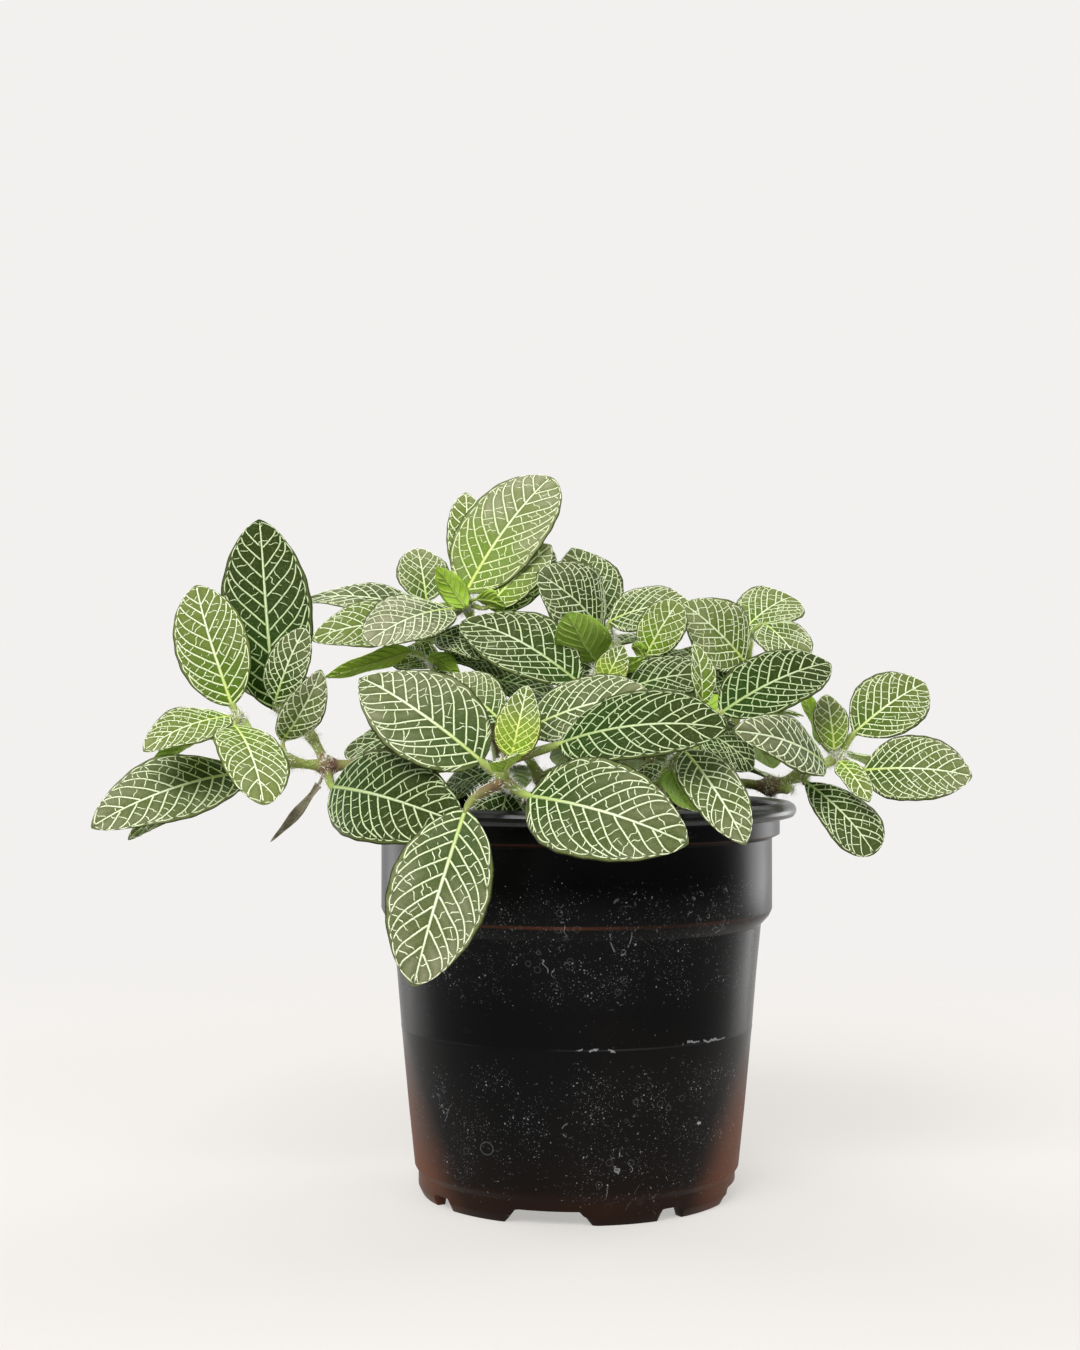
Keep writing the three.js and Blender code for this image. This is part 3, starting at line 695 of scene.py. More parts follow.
def blade_finish():
    f = Finish("leaf_upper_side")
    spot = f.kept("spot")
    veil, puff = f.kept("veil", "Fac"), f.kept("puff", "Fac")
    share, side, age = f.split(f.kept("look"))
    age = ripened(f, share, age)
    young, fresh, ripe, old = (138, 154, 46), (104, 123, 30), (74, 90, 25), (40, 56, 6)
    tone = f.mix(young, fresh, f.over(0.0, 0.35, age))
    tone = f.mix(f.mix(tone, ripe, f.over(0.3, 0.65, age)), old, f.over(0.6, 1.05, age))
    glow = f.mix((128, 172, 8), (24, 66, 0), f.over(0.15, 0.55, age))
    tone = f.mix(tone, glow, f.over(0.8, 0.1, share) * f.over(1.1, 0.45, side) * 0.72)
    # Painted sheen: a grey-green veil of reflected light in patches, paler towards the tip and edges and on
    # the swells between veins
    sheen_patches = f.patches(0.35, 0.7, spot, 0.09) * 0.7 + 0.5
    pale = veil * sheen_patches * (f.over(0.05, 0.9, share) * 0.8 + f.over(0.2, 0.9, side) * 0.4 + 0.3)
    pale = (pale * (puff * 0.5 + 0.65)).math("MINIMUM", 0.8)
    tone = f.mix(tone, f.mix((164, 162, 134), (120, 124, 90), f.over(0.6, 1.1, age)), pale)
    # Painted shade in the sunken grooves beside the midrib and side veins
    shade_beside_veins = f.mix((52, 82, 6), (18, 34, 0), f.over(0.2, 0.9, age))
    tone = f.mix(tone, shade_beside_veins, (1 - puff) * 0.2)
    # Lighter and darker patches painted as the light and shade on the quilted blade
    quilt_light_and_shade = f.patches(0.3, 0.7, spot, 1.5, 3.0, 0.7)
    tone = f.mix(tone, f.mix((20, 34, 0), (132, 144, 92), quilt_light_and_shade), (quilt_light_and_shade - 0.5).math("ABSOLUTE") * 0.42)
    tone = f.mix(tone, (118, 130, 72), f.over(0.9, 0.95, side) * 0.35)
    # The thin dark edge is partly the margin's own purple-brown and partly painted shadow where the margin
    # curls down
    tone = f.mix(tone, (62, 58, 40), f.over(0.972, 0.99, side) * 0.85)
    rough = f.patches(0.3, 0.7, spot, 0.5) * 0.12 + 0.42
    height = f.noise(spot, 2.2, 3.0, 0.6) * 0.6 + f.over(0.0, 0.35, f.cells(spot, 1.1, "DISTANCE_TO_EDGE"))
    return f.set(Base_Color=tone, Roughness=rough, Specular_IOR_Level=0.06,
                 Normal=f.bump(height, 0.00012, 0.6))


def underside_finish():
    f = Finish("leaf_underside")
    spot = f.kept("spot")
    age = f.split(f.kept("look"))[2]
    tone = f.mix((158, 198, 52), (126, 158, 70), f.over(0.1, 0.7, age))
    tone = f.mix(tone, (88, 118, 46), f.patches(0.4, 0.7, spot, 0.12) * f.over(0.0, 0.5, age) * 0.5)
    net = f.over(0.14, 0.03, f.cells(spot, 0.6, "DISTANCE_TO_EDGE"))
    tone = f.mix(tone, (168, 190, 104), net * 0.3)
    return f.set(Base_Color=tone, Roughness=0.6, Specular_IOR_Level=0.4,
                 Normal=f.bump(f.noise(spot, 1.8, 3.0, 0.6) + net, 0.0001, 0.5))


def vein_finish():
    f = Finish("leaf_veins")
    share, rank, age = f.split(f.kept("look"))
    age = ripened(f, share, age)
    pale = f.mix((234, 244, 150), (238, 246, 212), f.over(0.05, 0.4, age))
    pale = f.mix(pale, (202, 218, 170), f.over(0.6, 1.1, age))
    green = f.mix((208, 226, 92), (156, 180, 98), f.over(0.2, 1.0, age))
    tone = f.mix(pale, green, f.over(0.6, 0.05, share) * f.over(0.5, 0.1, rank) * 0.85)
    tone = f.mix(tone, (204, 220, 146), f.patches(0.45, 0.75, f.kept("spot"), 0.4) * 0.4)
    return f.set(Base_Color=tone, Roughness=0.5, Specular_IOR_Level=0.25)


def rib_finish():
    f = Finish("leaf_ribs")
    tone = f.mix((176, 198, 96), (146, 170, 92), f.over(0.1, 0.8, f.split(f.kept("look"))[2]))
    return f.set(Base_Color=tone, Roughness=0.55, Specular_IOR_Level=0.4)


def stalk_finish():
    f = Finish("stems_and_stalks")
    age = f.split(f.kept("look"))[2]
    at = f.where()
    fresh = f.mix((178, 198, 104), (140, 158, 80), f.over(0.2, 0.5, age))
    bark = f.mix((126, 112, 74), (112, 84, 66), f.patches(0.4, 0.65, at, 260.0, 3.0))
    tone = f.mix(fresh, bark, f.over(0.45, 0.85, age))
    tone = f.mix(tone, (150, 120, 92), f.patches(0.5, 0.72, at, 420.0) * 0.35)
    return f.set(Base_Color=tone, Roughness=0.62, Specular_IOR_Level=0.25,
                 Normal=f.bump(f.noise(at, 1400.0, 3.0), 0.0003, 0.8))


def hair_finish():
    return Finish("plant_hairs").set(Base_Color=(250, 250, 240), Roughness=0.6, Specular_IOR_Level=0.3)


def withered_finish():
    f = Finish("withered_leaf")
    at = f.where()
    tone = f.mix((148, 140, 118), (96, 90, 70), f.patches(0.35, 0.65, at, 300.0, 4.0, 0.6))
    return f.set(Base_Color=tone, Roughness=0.8, Normal=f.bump(f.noise(at, 900.0, 3.0), 0.0005, 0.8))


# Pot and soil

FOOT_RADIUS = 43.2
FLOOR_BOTTOM, FLOOR_TOP = 4.3, 5.5
FOOT_TOP = 7.6
MOULD_LINE = 45.1
SHOULDER_RADIUS, SHOULDER = 50.4, 73
COLLAR_RADIUS, COLLAR_BOTTOM, COLLAR_TOP = 53.4, 77.2, 96.4
NECK_RADIUS = 55.5
LIP_UNDERSIDE = 101.8
POT_STEPS = 240
# Each notch of the foot: its turn in degrees, then its width below and above and its height
NOTCHES = [(-11 + 45 * i, (23, 17, 3.8) if i % 2 == 0 else (7, 6, 3.2)) for i in range(8)]
# The soil's height at its edge, and how far it swells up in the middle
SOIL_TOP, SOIL_MOUND = 93.0, 3
SOIL_STEPS, SOIL_RINGS = 132, 34
CRUMBS = 420


def turned(profile, steps):
    """A bmesh turned round the pot's axis from a profile of (radius, height)"""
    bm = bmesh.new()
    verts = [bm.verts.new((radius, 0, height)) for radius, height in profile]
    edges = [bm.edges.new(pair) for pair in zip(verts, verts[1:])]
    bmesh.ops.spin(bm, geom=[*verts, *edges], axis=(0, 0, 1), cent=(0, 0, 0), dvec=(0, 0, 0),
                   angle=2 * math.pi, steps=steps, use_merge=True)
    bmesh.ops.remove_doubles(bm, verts=bm.verts, dist=1e-4)
    bmesh.ops.recalc_face_normals(bm, faces=bm.faces)
    for face in bm.faces:
        face.smooth = True
    return bm


def notch_height(x, y):
    """How high the foot is cut away at this place of its ring"""
    turn = math.degrees(math.atan2(x, -y))
    for centre, (bottom, top, height) in NOTCHES:
        apart = abs((turn - centre + 180) % 360 - 180)
        arc = math.radians(apart) * math.hypot(x, y)
        if arc < bottom / 2:
            return height * min(1, (bottom / 2 - arc) / ((bottom - top) / 2))
    return 0.0


def pot_piece():
    rim = RIM_RADIUS
    outside = [
        (0, FLOOR_BOTTOM), (20, FLOOR_BOTTOM), (40.8, FLOOR_BOTTOM), (40.1, 1.2), (39.8, 0), (42.1, 0),
        (FOOT_RADIUS, 2.2), (FOOT_RADIUS, 6), (44.2, FOOT_TOP), (45.9, 24), (47.8, 44.2),
        (47.97, MOULD_LINE), (47.96, 46), (49.1, 60), (SHOULDER_RADIUS, SHOULDER), (52.6, 75.4),
        (COLLAR_RADIUS, COLLAR_BOTTOM), (COLLAR_RADIUS, 87), (COLLAR_RADIUS, COLLAR_TOP),
        (NECK_RADIUS, 97.4), (NECK_RADIUS, LIP_UNDERSIDE), (rim - 2.2, LIP_UNDERSIDE),
        (rim - 0.8, 102.2), (rim - 0.1, 103.2), (rim, 104.2), (rim - 0.5, 105.2), (rim - 1.6, 105.9),
        (rim - 2.6, POT_HEIGHT), (56.0, POT_HEIGHT), (54.8, 105.6), (54.3, 104.7),
    ]
    inside = [
        (54.3, 98.4), (52.2, 95.4), (52.1, 78.2), (49.2, SHOULDER), (46.5, 45), (43.0, FOOT_TOP),
        (41.8, FLOOR_TOP), (20, FLOOR_TOP), (0, FLOOR_TOP),
    ]
    bm = turned([*outside, *inside], POT_STEPS)
    for vert in bm.verts:
        if vert.co.z < 4 and vert.co.xy.length > 39:
            vert.co.z = max(vert.co.z, notch_height(vert.co.x, vert.co.y))
    for face in bm.faces:
        face.material_index = int(face.calc_center_median().z > LIP_UNDERSIDE - 0.1)
    piece = settled(bm, "nursery_pot", pot_finish("pot_plastic", 0.09), pot_finish("pot_lip_plastic", 0.4))
    bevel = piece.modifiers.new("soft_edges", "BEVEL")
    bevel.width, bevel.segments, bevel.limit_method = 0.45 * MM, 3, "ANGLE"
    bevel.angle_limit = math.radians(24)
    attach(piece, "root")
    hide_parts("pot")


def pot_finish(name, gloss):
    """Black plastic with a painted brown glow of light at its left and right flanks, brown at the foot and
    along the collar's edges, with dust, water marks and scratches; lengths in mm
    """
    f = Finish(name)
    at = f.where(offset=tuple(-POT_AXIS))
    x, y, z = (part * 1000 for part in f.split(at))
    front = f.over(-4.0, -12.0, y)
    patchy = f.noise(at, 22.0, 3.0)
    bent = f.noise(at, 700.0, output="Color")
    shake = {0: bent, 1: (0.0012, 0.0012, 0.0012), 2: at}
    shaken = f.node("ShaderNodeVectorMath", {"operation": "MULTIPLY_ADD"}, shake)[0]

    def close(value, middle, outer, inner=0.0):
        """1 where the value is within inner of the middle, 0 where it is past outer"""
        return f.over(outer, inner, (value - middle).math("ABSOLUTE"))

    def across(height):
        """A line round the pot at this height"""
        return close(z, height, 0.6, 0.24)

    def from_centre(cx, cz, rx, rz):
        """1 on the edge of this oval"""
        return (((x - cx) / rx) ** 2 + ((z - cz) / rz) ** 2) ** 0.5

    def dots(scale, size, density):
        made = f.node("ShaderNodeTexVoronoi", {}, {"Vector": shaken, "Scale": scale})
        chance, shrink, fade = f.split(made["Color"])
        dot = f.over(size, size * 0.45, made["Distance"] + shrink * size * 0.4)
        return dot * f.over(0.0, 0.03, chance + density - 1) * (fade ** 2 * 0.85 + 0.15)

    # The brown at the pot's left and right flanks, lower down, is a painted glow of light showing through
    # the plastic; the foot and the collar's edges are brown too
    painted_glow_side = x.math("ABSOLUTE") / (z * 0.08 + 44) - (z * 0.0075 + 0.6) + (patchy - 0.5) * 0.3
    thin = f.over(0.0, 0.24, painted_glow_side) * f.over(46.0, 34.0, z) * (f.over(2.0, 9.0, z) * 0.3 + 0.36)
    foot = f.over(9.5, 6.5, z) * patchy * 0.1 + f.over(24.0, 6.0, z) * 0.02
    lines = across(76.6) * (f.over(0.35, 0.6, patchy) * 0.24 + 0.1) + across(97.2) * 0.12
    # brown holds the painted glow at the flanks together with the brown of the foot and the collar lines
    brown = (thin + foot + lines).math("MINIMUM", 1.0)

    # Dust lies in two bands, thicker to the right
    bands = f.over(54.0, 60.0, z) * f.over(90.0, 80.0, z) + f.over(44.0, 36.0, z) * f.over(2.0, 12.0, z)
    clouds = f.noise(at, 26.0, 3.0, 0.6) + f.over(-40.0, 30.0, x) * 0.12
    dusty = bands * f.over(0.36, 0.62, clouds) + 0.05
    strewn = dusty * (f.patches(0.42, 0.62, at, 110.0, 3.0, 0.6) * 0.8 + 0.2)
    specks = dots(1050.0, 0.32, strewn * 0.55) + dots(480.0, 0.16, strewn * 0.5)
    specks = specks + dots(1900.0, 0.42, strewn) * 0.5
    halos = close(f.cells(at, 240.0), 0.2, 0.05) * f.patches(0.5, 0.62, at, 60.0, 1.0) * dusty
    fibres = close(f.noise(at, 190.0), 0.5, 0.014, 0.003) * f.patches(0.58, 0.66, at, 60.0)

    # Single marks: the scuffed ridge, a drip and a blot over it, rings and a spot
    ragged = f.patches(0.48, 0.56, at, 420.0)
    bitten = f.noise(at, 330.0, 3.0) - 0.5
    wavy = z + (f.noise(at, 260.0, 3.0) - 0.5) * 3.5
    scuffed = f.over(-1.5, 0.5, x) * f.over(11.0, 9.0, x) + f.over(24.0, 29.0, x) * f.over(41.0, 38.0, x)
    ridge = close(wavy, 45.7, 0.4, 0.1) * ragged * scuffed * 0.8
    faint_ridge = close(z, 45.4, 0.3, 0.12) * f.over(0.4, 0.6, patchy) * 0.05
    drip = close(from_centre(10.2, 76.0, 2.8, 6.4) + bitten * 0.2, 1, 0.08) * ragged * 0.6
    blot = close(from_centre(10.8, 80.6, 3.4, 3.6) + bitten * 0.5, 1, 0.13) * ragged * 0.4
    ring = close(from_centre(-2.7, 25.0, 1.8, 1.8) + bitten * 0.3, 1, 0.16) * ragged * 0.3
    small_ring = close(from_centre(-23.6, 19.0, 1.6, 1.7) + bitten * 0.3, 1, 0.14) * 0.18
    spot = f.over(1.0, 0.6, from_centre(31.0, 24.5, 0.7, 0.5))
    single = ridge + drip * f.over(76.0, 75.0, z) + blot * f.over(79.0, 81.0, z) + ring + small_ring + spot

    marks = specks + halos * 0.1 + fibres * (dusty + 0.15) * ragged * 0.5 + faint_ridge + single * front
    dust = (marks + dusty * 0.003).math("MINIMUM", 1.0)
    tone = f.mix((4, 4, 5), (9, 7, 6), f.patches(0.4, 0.6, at, 14.0))
    tone = f.mix(f.mix(tone, (110, 62, 36), brown), (200, 202, 206), dust * 0.5)
    rough = f.noise(at, 45.0, 3.0) * 0.1 + (dust + brown) * 0.4 + f.over(74.0, 78.0, z) * 0.06 + 0.2
    height = f.noise(at, 400.0) * 0.15 + marks
    return f.set(Base_Color=tone, Roughness=rough, Specular_IOR_Level=gloss,
                 Normal=f.bump(height, 0.00005, 0.5))


def mound(place):
    """How far the soil's top swells up over its edge at this place, and how far it rolls"""
    swell = SOIL_MOUND * (1 - (place.xy.length / COLLAR_RADIUS) ** 2)
    return swell, noise.noise(place * 0.07) * 2


def soil_piece():
    sides = [(0, 5.9), (20, 5.9), (41.0, 5.9), (42.6, 7.8), (46.1, 45), (48.8, SHOULDER), (51.7, 78.5),
             (51.8, SOIL_TOP)]
    rings = [(radius, SOIL_TOP) for radius in np.linspace(50.6, 0, SOIL_RINGS)]
    bm = turned([*sides, *rings], SOIL_STEPS)
    for vert in bm.verts:
        if abs(vert.co.z - SOIL_TOP) < 0.01:
            swell, uneven = mound(vert.co)
            uneven += noise.fractal(vert.co * 0.22, 0.7, 2.0, 4) * 1.5
            vert.co.z += swell + uneven * (1 - (vert.co.xy.length / COLLAR_RADIUS) ** 8)
    dice = random.Random("crumbs")
    # Without a seed, the noise vectors that shape the crumbs come out differently each run
    noise.seed_set(1)
    for _ in range(CRUMBS):
        radius, turn = 50 * math.sqrt(dice.random()), dice.uniform(0, 2 * math.pi)
        size = dice.choice([0.5, 0.7, 0.9, 1.2, 1.7])
        place = Vector((radius * math.cos(turn), radius * math.sin(turn), SOIL_TOP))
        place.z += sum(mound(place)) + size * 0.2
        spin = Matrix.Rotation(dice.uniform(0, 3), 4, Vector((dice.random(), dice.random(), 1)))
        squash = Matrix.Diagonal((size, size * dice.uniform(0.5, 0.9), size * dice.uniform(0.4, 0.8), 1))
        made = bmesh.ops.create_icosphere(bm, subdivisions=1, radius=1,
                                          matrix=Matrix.Translation(place) @ spin @ squash)
        for vert in made["verts"]:
            vert.co += noise.noise_vector(vert.co * 0.9) * 0.25 * size
    piece = settled(bm, "potting_soil", soil_finish())
    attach(piece, "root")
    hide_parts("soil")


def soil_finish():
    f = Finish("peat")
    at = f.where()
    tone = f.mix((38, 28, 20), (78, 60, 44), f.patches(0.35, 0.68, at, 240.0, 5.0, 0.65))
    grains = f.over(0.16, 0.06, f.cells(at, 420.0)) * f.patches(0.5, 0.64, at, 130.0)
    tone = f.mix(tone, (132, 108, 80), grains)
    return f.set(Base_Color=tone, Roughness=0.95, Specular_IOR_Level=0.2,
                 Normal=f.bump(f.noise(at, 700.0, 5.0, 0.7), 0.001, 1.0))


# Stage, light and camera, in metres

def softbox(name, place, aim, wide, high, power):
    light = bpy.data.lights.new(name, "AREA")
    light.shape, light.size, light.size_y, light.energy = "RECTANGLE", wide, high, power
    lamp = placed(name, light)
    lamp.location = place
    lamp.rotation_euler = (Vector(aim) - Vector(place)).to_track_quat("-Z", "Y").to_euler()


def stage():
    """A plain pale floor that fades into the backdrop away from the pot"""
    bm = bmesh.new()
    bmesh.ops.create_circle(bm, cap_ends=True, segments=96, radius=0.9)
    mesh = bpy.data.meshes.new("floor")
    bm.to_mesh(mesh)
    bm.free()
    f = Finish("pale_floor")
    x, y = f.split(f.where())[:2]
    away = (x * x + y * y) ** 0.5
    mesh.materials.append(f.set(
        Base_Color=(150, 147, 144), Roughness=0.9, Specular_IOR_Level=0.05,
        Emission_Color=(200, 198, 195), Emission_Strength=0.78, Alpha=f.over(0.6, 0.16, away)))
    floor = placed("floor", mesh)


def sky():
    """Soft light from above and from the pale backdrop behind the plant; darker on the viewer's side"""
    world = bpy.data.worlds.new("studio")
    bpy.context.scene.world = world
    world.use_nodes = True
    world.node_tree.nodes.clear()
    w = Wiring(world.node_tree)
    y, z = w.split(w.node("ShaderNodeTexCoord", {}, {})["Generated"])[1:]
    light = w.over(0.05, 0.45, y) * 0.82 + w.over(0.1, 0.9, z) * 0.4 + 0.08
    lamp = w.node("ShaderNodeBackground", {}, {0: (255, 255, 255), 1: light})[0]
    backdrop = w.node("ShaderNodeBackground", {}, {0: (243, 241, 239)})[0]
    ray = w.node("ShaderNodeLightPath", {}, {})["Is Camera Ray"]
    seen = w.node("ShaderNodeMixShader", {}, {0: ray, 1: lamp, 2: backdrop})[0]
    w.node("ShaderNodeOutputWorld", {}, {0: seen})


def camera():
    lens = bpy.data.cameras.new("camera")
    lens.lens, lens.sensor_width, lens.clip_start = 55.3, 36, 0.01
    view = placed("camera", lens)
    view.location = POT_AXIS + Vector((-0.010, -0.570, 0.133))
    view.rotation_euler = (math.radians(90.75), 0, 0)
    bpy.context.scene.camera = view


camera()
stage()
sky()
softbox("key", (-0.45, -1.25, 1.2), (0, 0, 0.1), 0.9, 0.9, 30)
softbox("fill", (0.9, -1.1, 0.9), (0, 0, 0.1), 0.8, 0.8, 6)
softbox("strip_left", (-0.8, 0.55, 0.25), (0, 0, 0.08), 0.6, 0.9, 5.5)
softbox("strip_right", (0.8, 0.6, 0.25), (0, 0, 0.08), 0.5, 0.9, 5.5)
bpy.context.scene.view_settings.view_transform = "Standard"

pot_piece()
soil_piece()
FOLIAGE = [blade_finish(), underside_finish(), vein_finish(), rib_finish(), stalk_finish(), hair_finish(),
           withered_finish()]
# Each leafy stem: its main stem and side shoots, then its leaves
leafy_stem(
    "stem_left",
    [rooted(-36, -8, (-46, -11, 112), (-58, -14, 116), (-67, -15, 116), (-77, -19.5, 117.5),
            (-84, -23, 122), (-89, -25, 129)),
     [(-67, -15, 116), (-72, -10, 124), (-79, -8, 131)]],
    leaf((-65, -21, 110.5), (-30, -60, 104), 26, (-0.6, -0.65, 0.45), 1, veil=0.1),
    leaf((-69, -16, 111), (-82, -18, 96), 2.6, (-0.2, -0.9, 0.2), 2, arch=-0.1, fold=0.5),
    leaf((-89, -17, 114), (-124, -42, 102.5), 22, (0.1, -0.7, 0.65), 0.62, veil=0.4),
    leaf((-88, -13, 111), (-118, -28, 98.5), 16, (0.1, -0.3, 0.95), 0.1),
    leaf((-90, -21, 125), (-114, -18, 117), 12, (0, 0.2, 1), 0.3),
    leaf((-91, -27, 129), (-111, -42, 121.5), 16, (0, -0.6, 0.8), 0.35, veil=0.3),
    leaf((-91, -24, 132), (-103, -13, 165), 20, (-0.1, -0.9, 0.3), 0.4, veil=0.2),
    leaf((-90, -29, 127), (-78, -57, 109), 19, (0.25, -0.35, 0.9), 0.32, taper=0.6, veil=0.3),
    leaf((-82, -7, 131), (-88.5, 8, 185), 25, (0.1, -0.95, 0.2), 1.1, veil=0.04),
    leaf((-81, -13, 133), (-73, -16, 153), 12.5, (-0.2, -0.95, 0.1), 0.7),
    leaf((-79, -15, 123), (-67.5, -24, 141), 11.5, (0.5, -0.8, 0.2), 0.4, fold=0.3, veil=0.5),
    leaf((-80, -1, 131), (-91, 32, 141), 20, (0, -0.3, 1), 0.7),
)
leafy_stem(
    "stem_front",
    [rooted(-12, -36, (-14, -43, 108), (-19, -54, 113.5), (-19, -57.5, 118.5))],
    leaf((-24.5, -51, 118), (-57.5, -30, 140.5), 26, (-0.2, -0.75, 0.6), 0.65,
         root=0.56, taper=0.9, veil=0.4),
    leaf((-17, -58, 119.5), (-13, -54, 137.5), 11.5, (0, -0.97, 0.15), 0.05,
         fold=0.3, taper=0.9, root=0.5, veil=0.25),
    leaf((-19, -62, 116), (-17, -69, 120), 8, (0, -0.5, 0.8), 0.05),
    leaf((-5, -52, 122.5), (34.5, -73, 128), 24, (0.1, -0.75, 0.6), 1.1, veil=0.08),
    leaf((-28, -68, 107), (-40, -81, 66.5), 24.5, (0, -0.95, 0.3), 0.65, root=0.7, veil=0.45, bark=0.25),
    leaf((-12.5, -64, 110), (24, -86, 101), 27, (0, -0.95, 0.4), 0.74, root=0.56, veil=0.28),
    leaf((-18, -49, 111), (-21, -40, 98), 15, (0, -0.9, 0.4), 1),
)
leafy_stem(
    "stem_front_middle",
    [rooted(-6, -20, (-10, -29, 113), (-17, -38, 124))],
    leaf((-13, -40, 126), (18, -48, 135.5), 20, (0, -0.75, 0.65), 0.6, veil=0.5),
    leaf((-20, -36, 128), (-36, -24, 140), 16, (-0.1, -0.8, 0.6), 0.5, veil=0.5),
    leaf((-20, -33, 115), (-38, -24, 108), 15, (0, -0.6, 0.75), 1),
    leaf((-7, -31, 115.5), (14, -36, 110.5), 15, (0, -0.4, 0.9), 1.1),
)
leafy_stem(
    "stem_middle",
    [rooted(8, -8, (7, -16, 118), (4, -25, 135), (5, -21, 140))],
    leaf((0, -29, 138), (-31, -14, 156), 24, (0.1, -0.7, 0.7), 0.9, veil=0.2),
    leaf((11, -23, 135.5), (35, -21, 141), 17, (0, -0.7, 0.7), 0.95),
    leaf((7, -25, 138), (12, -26, 148), 9, (0, -0.95, 0.2), 0.1, taper=0.95, root=0.6),
    leaf((10, -22, 140), (17, -25, 145), 5, (0.3, 0.5, 0.8), 0.05),
    leaf((5, -17, 144), (-3, -30, 157), 15, (0, 0.8, 0.5), 0.4, arch=-0.1),
)
leafy_stem(
    "stem_left_middle",
    [rooted(-26, -6, (-32, -6, 122), (-39, -8, 144))],
    leaf((-45, -9, 147), (-68, -14, 139.5), 11, (0, 0.5, 0.85), 0.05, arch=0, curl=0, taper=1),
    leaf((-38, -14, 141), (-20, -28, 136), 5, (0, -0.7, 0.7), 0.9, arch=-0.1, fold=0.5),
    leaf((-38, -2, 124), (-63.5, -4, 119.5), 14, (0, -0.5, 0.85), 0.9, taper=0.45),
    leaf((-34, 0, 124), (-46, 20, 120), 14, (-0.1, 0.2, 1), 0.7),
    leaf((-38, -3, 143), (-52, 6, 146.5), 13, (-0.1, -0.6, 0.75), 0.5),
    leaf((-40, -12, 145.5), (-31, -15, 139.5), 7, (0, 0.8, 0.5), 0.1),
)
leafy_stem(
    "stem_top",
    [rooted(-18, 6, (-22, 4, 124), (-27, 0, 148), (-30, -4, 160))],
    leaf((-30, -6, 163), (-7, 8.5, 197), 25, (-0.2, -0.9, 0.4), 0.28, taper=0.62, root=0.52, veil=0.7),
    leaf((-29, -1, 163), (-31, 14, 193), 12, (0, -0.9, 0.4), 0.35, veil=0.3),
    leaf((-41, -3, 160.5), (-44, 4, 176), 14.5, (0.1, -0.8, 0.5), 0.45, veil=0.35),
    leaf((-30, -9, 158.5), (-38, -13, 169.5), 7.5, (-0.2, 0.9, 0.3), 0, taper=0.95),
    leaf((-34, -9, 158), (-55, -28, 149.5), 20, (-0.1, -0.75, 0.65), 0.6, taper=0.6, veil=0.75),
    leaf((-42, -1, 154), (-72, -8, 151), 18, (0, -0.7, 0.7), 0.4, veil=0.3),
    leaf((-40, 8, 157), (-78, 16, 163), 17, (0, -0.45, 0.9), 0.75, veil=0.5),
    leaf((-24, -8, 158.5), (-7, -3, 176.5), 13, (0.1, -0.85, 0.5), 0.25, veil=0.5),
    leaf((-27, -9, 161), (-19, -12, 159), 7, (0, 0.6, 0.6), 0.02),
    leaf((-22, 12, 158), (-7, 25, 178), 17, (0, -0.7, 0.7), 0.7),
    leaf((-20, 11, 127), (-14, 38, 126), 16, (0, 0.1, 1), 0.8),
    leaf((-30, 6, 150), (-44, 26, 150), 16, (-0.1, 0.1, 1), 0.6),
    leaf((-23, 4, 139), (-3, 8, 132), 17, (0, -0.55, 0.8), 0.95),
    leaf((-36, -4, 148), (-19, -7, 141), 13, (0, -0.6, 0.8), 1.05),
    leaf((-38, -9, 151), (-20, -18, 145), 15, (0, -0.6, 0.8), 0.8),
)
leafy_stem(
    "stem_centre",
    [rooted(10, 12, (11, 9, 124), (9, 1, 151))],
    leaf((7, -1, 152), (-10, -14, 168), 24, (0.1, -0.85, 0.5), 0.8, veil=0.25),
    leaf((7, 4, 155), (-1, 13, 177), 19, (0, -0.85, 0.5), 0.7, taper=0.9, veil=0.3),
    leaf((9, 0, 155), (31, -2, 160.5), 19, (0, -0.65, 0.75), 0.5, veil=0.4),
    leaf((14, 14, 123), (20, 38, 120), 15, (0, 0.1, 1), 0.8),
    leaf((12, 11, 149), (24, 28, 152), 16, (0.1, 0.1, 1), 0.6),
    leaf((10, 3, 143), (-3, 0, 139), 10, (0, -0.7, 0.6), 1),
)
leafy_stem(
    "stem_centre_right",
    [rooted(20, 0, (20, -6, 124), (19, -12, 144))],
    leaf((18.5, -14.5, 145.5), (27, -15, 160), 13, (-0.1, -0.9, 0.3), 0.3, taper=0.6),
    leaf((21, -13, 145), (32, -12, 143.5), 11, (0, -0.5, 0.85), 0.7),
    leaf((18, -14, 145), (15, -17, 149), 4, (0, 0.6, 0.8), 0.05),
)
leafy_stem(
    "stem_right_middle",
    [rooted(34, 8, (42, 6, 120), (47, 4, 140), (48, 8, 151))],
    leaf((46, -1, 144), (29, -9, 160), 20, (-0.1, -0.9, 0.5), 0.4, taper=0.85, veil=0.4),
    leaf((46, 9, 152), (61.5, 18, 163.5), 20, (0, -0.6, 0.8), 0.4, taper=0.55, root=0.8, veil=0.3),
    leaf((52, 3.5, 154.5), (61.5, -5, 143), 18, (0.4, -0.8, 0.4), 0.45, veil=0.4),
    leaf((46, 9, 121), (62, 14, 127), 14, (-0.2, 0, 1), 0.7),
    leaf((46, 10, 141), (44, 30, 145), 14, (0, 0.2, 1), 0.6),
    leaf((43, 0, 137), (26, -4, 146), 15, (0, -0.75, 0.6), 0.95),
)
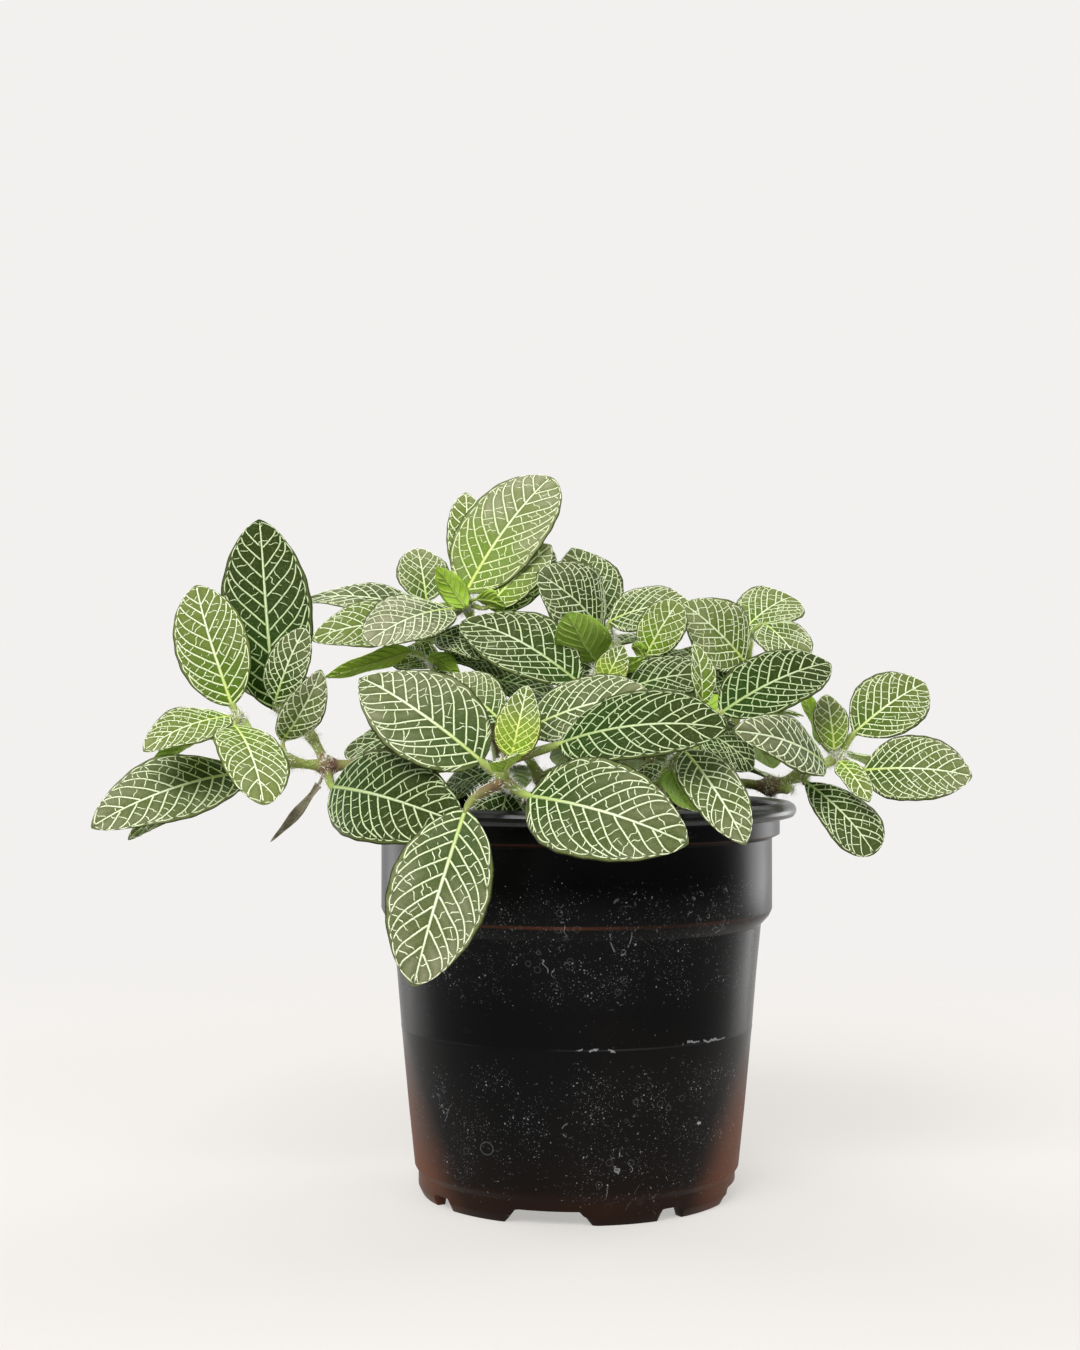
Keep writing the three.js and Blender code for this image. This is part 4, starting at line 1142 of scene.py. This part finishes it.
leafy_stem(
    "stem_right_front",
    [rooted(26, -18, (30, -26, 116), (34, -32, 128))],
    leaf((37, -31, 130), (67.5, -18, 144.5), 20.5, (0.1, -0.7, 0.7), 1.1, veil=0.06),
    leaf((32, -30, 131.5), (30.5, -28, 148.5), 7.5, (0.5, -0.85, 0.1), 0.35, fold=0.5),
    leaf((31, -28, 126), (46, -29, 116), 18, (0.2, -0.6, 0.7), 1),
    leaf((27, -21, 112), (13, -20, 108), 15, (0, -0.7, 0.6), 1),
)
leafy_stem(
    "stem_rim_front",
    [rooted(14, -36, (19, -46, 110), (23, -53, 118))],
    leaf((25.5, -57, 121), (39.5, -72, 99.5), 15, (0.1, -0.85, 0.5), 0.6, veil=0.3),
    leaf((22.5, -55, 116), (28, -62, 106), 12, (-0.6, 0.6, 0.2), 0.3),
)
leafy_stem(
    "stem_right",
    [rooted(38, 0, (42, -6, 110), (52, -12, 110.5), (60, -12, 113.5), (70, -12, 118)),
     [(52, -12, 110.5), (58, -15, 109.6)]],
    leaf((69, -13, 120), (68, -5, 135.5), 9.5, (0, -0.95, 0.2), 0.25, taper=0.78, veil=0.4),
    leaf((75, -8, 124.5), (96.5, 2, 139), 20, (-0.1, -0.85, 0.45), 0.45, taper=0.8, root=0.75, veil=0.25),
    leaf((77, -12, 114.5), (104, -22, 114), 21, (0, -0.85, 0.5), 0.5, veil=0.35),
    leaf((70, -15, 117), (76, -28, 107.5), 8, (0, -0.7, 0.7), 0.3),
    leaf((61, -14, 111.5), (78, -26, 94), 16, (0.1, -0.75, 0.6), 0.85, taper=0.5, root=0.9, veil=0.12),
    leaf((66, -17, 116), (40, -48, 126.5), 15.5, (0.2, -0.9, 0.45), 0.75, veil=0.4),
    leaf((66, -8, 122), (62, 0, 136), 7, (0.5, 0.6, 0.5), 0.02),
    leaf((72, -8, 119), (88, 14, 112), 12, (0, -0.2, 1), 0.5),
)
leafy_stem(
    "stem_back_left",
    [rooted(-22, 24, (-22, 34, 112), (-24, 50, 124), (-24, 54, 130))],
    leaf((-28, 36, 113), (-57, 46, 108), 21, (-0.1, 0.2, 1), 0.8),
    leaf((-21, 40, 114), (-19, 72, 105.5), 18, (0, 0.4, 0.9), 0.8),
    leaf((-27, 56, 125), (-44, 88, 114), 22, (-0.1, 0.6, 0.8), 0.6),
    leaf((-25, 46, 127), (-40, 24, 138), 20, (-0.1, -0.3, 1), 0.6),
    leaf((-24, 58, 131), (-28, 66, 145), 11, (0, 0.9, 0.3), 0.15),
)
leafy_stem(
    "stem_back",
    [rooted(2, 30, (4, 40, 118), (6, 52, 132))],
    leaf((2, 44, 119), (3, 76, 109), 19, (0, 0.35, 0.95), 0.8),
    leaf((8, 42, 119), (32, 62, 110), 21, (0.1, 0.4, 0.9), 0.85),
    leaf((6, 58, 132), (4, 92, 122), 22, (0, 0.5, 0.85), 0.5),
    leaf((6, 46, 134), (4, 20, 142), 18, (0, -0.3, 1), 0.5),
    leaf((2, 54, 134), (-12, 60, 146), 13, (-0.3, 0.5, 0.8), 0.25),
    leaf((10, 54, 134), (24, 58, 145), 13, (0.3, 0.5, 0.8), 0.25),
)
leafy_stem(
    "stem_back_right",
    [rooted(24, 22, (32, 32, 114), (40, 42, 126))],
    leaf((36, 29, 115), (60, 16, 110), 19, (0.2, 0.1, 1), 0.8),
    leaf((44, 46, 126), (62, 68, 114), 21, (0.3, 0.4, 0.85), 0.6),
    leaf((36, 38, 129), (20, 26, 142), 17, (-0.3, -0.2, 1), 0.5),
    leaf((44, 38, 128), (66, 28, 130), 16, (0.2, 0, 1), 0.5),
    leaf((40, 46, 129), (40, 58, 141), 12, (0, 0.8, 0.5), 0.2),
)
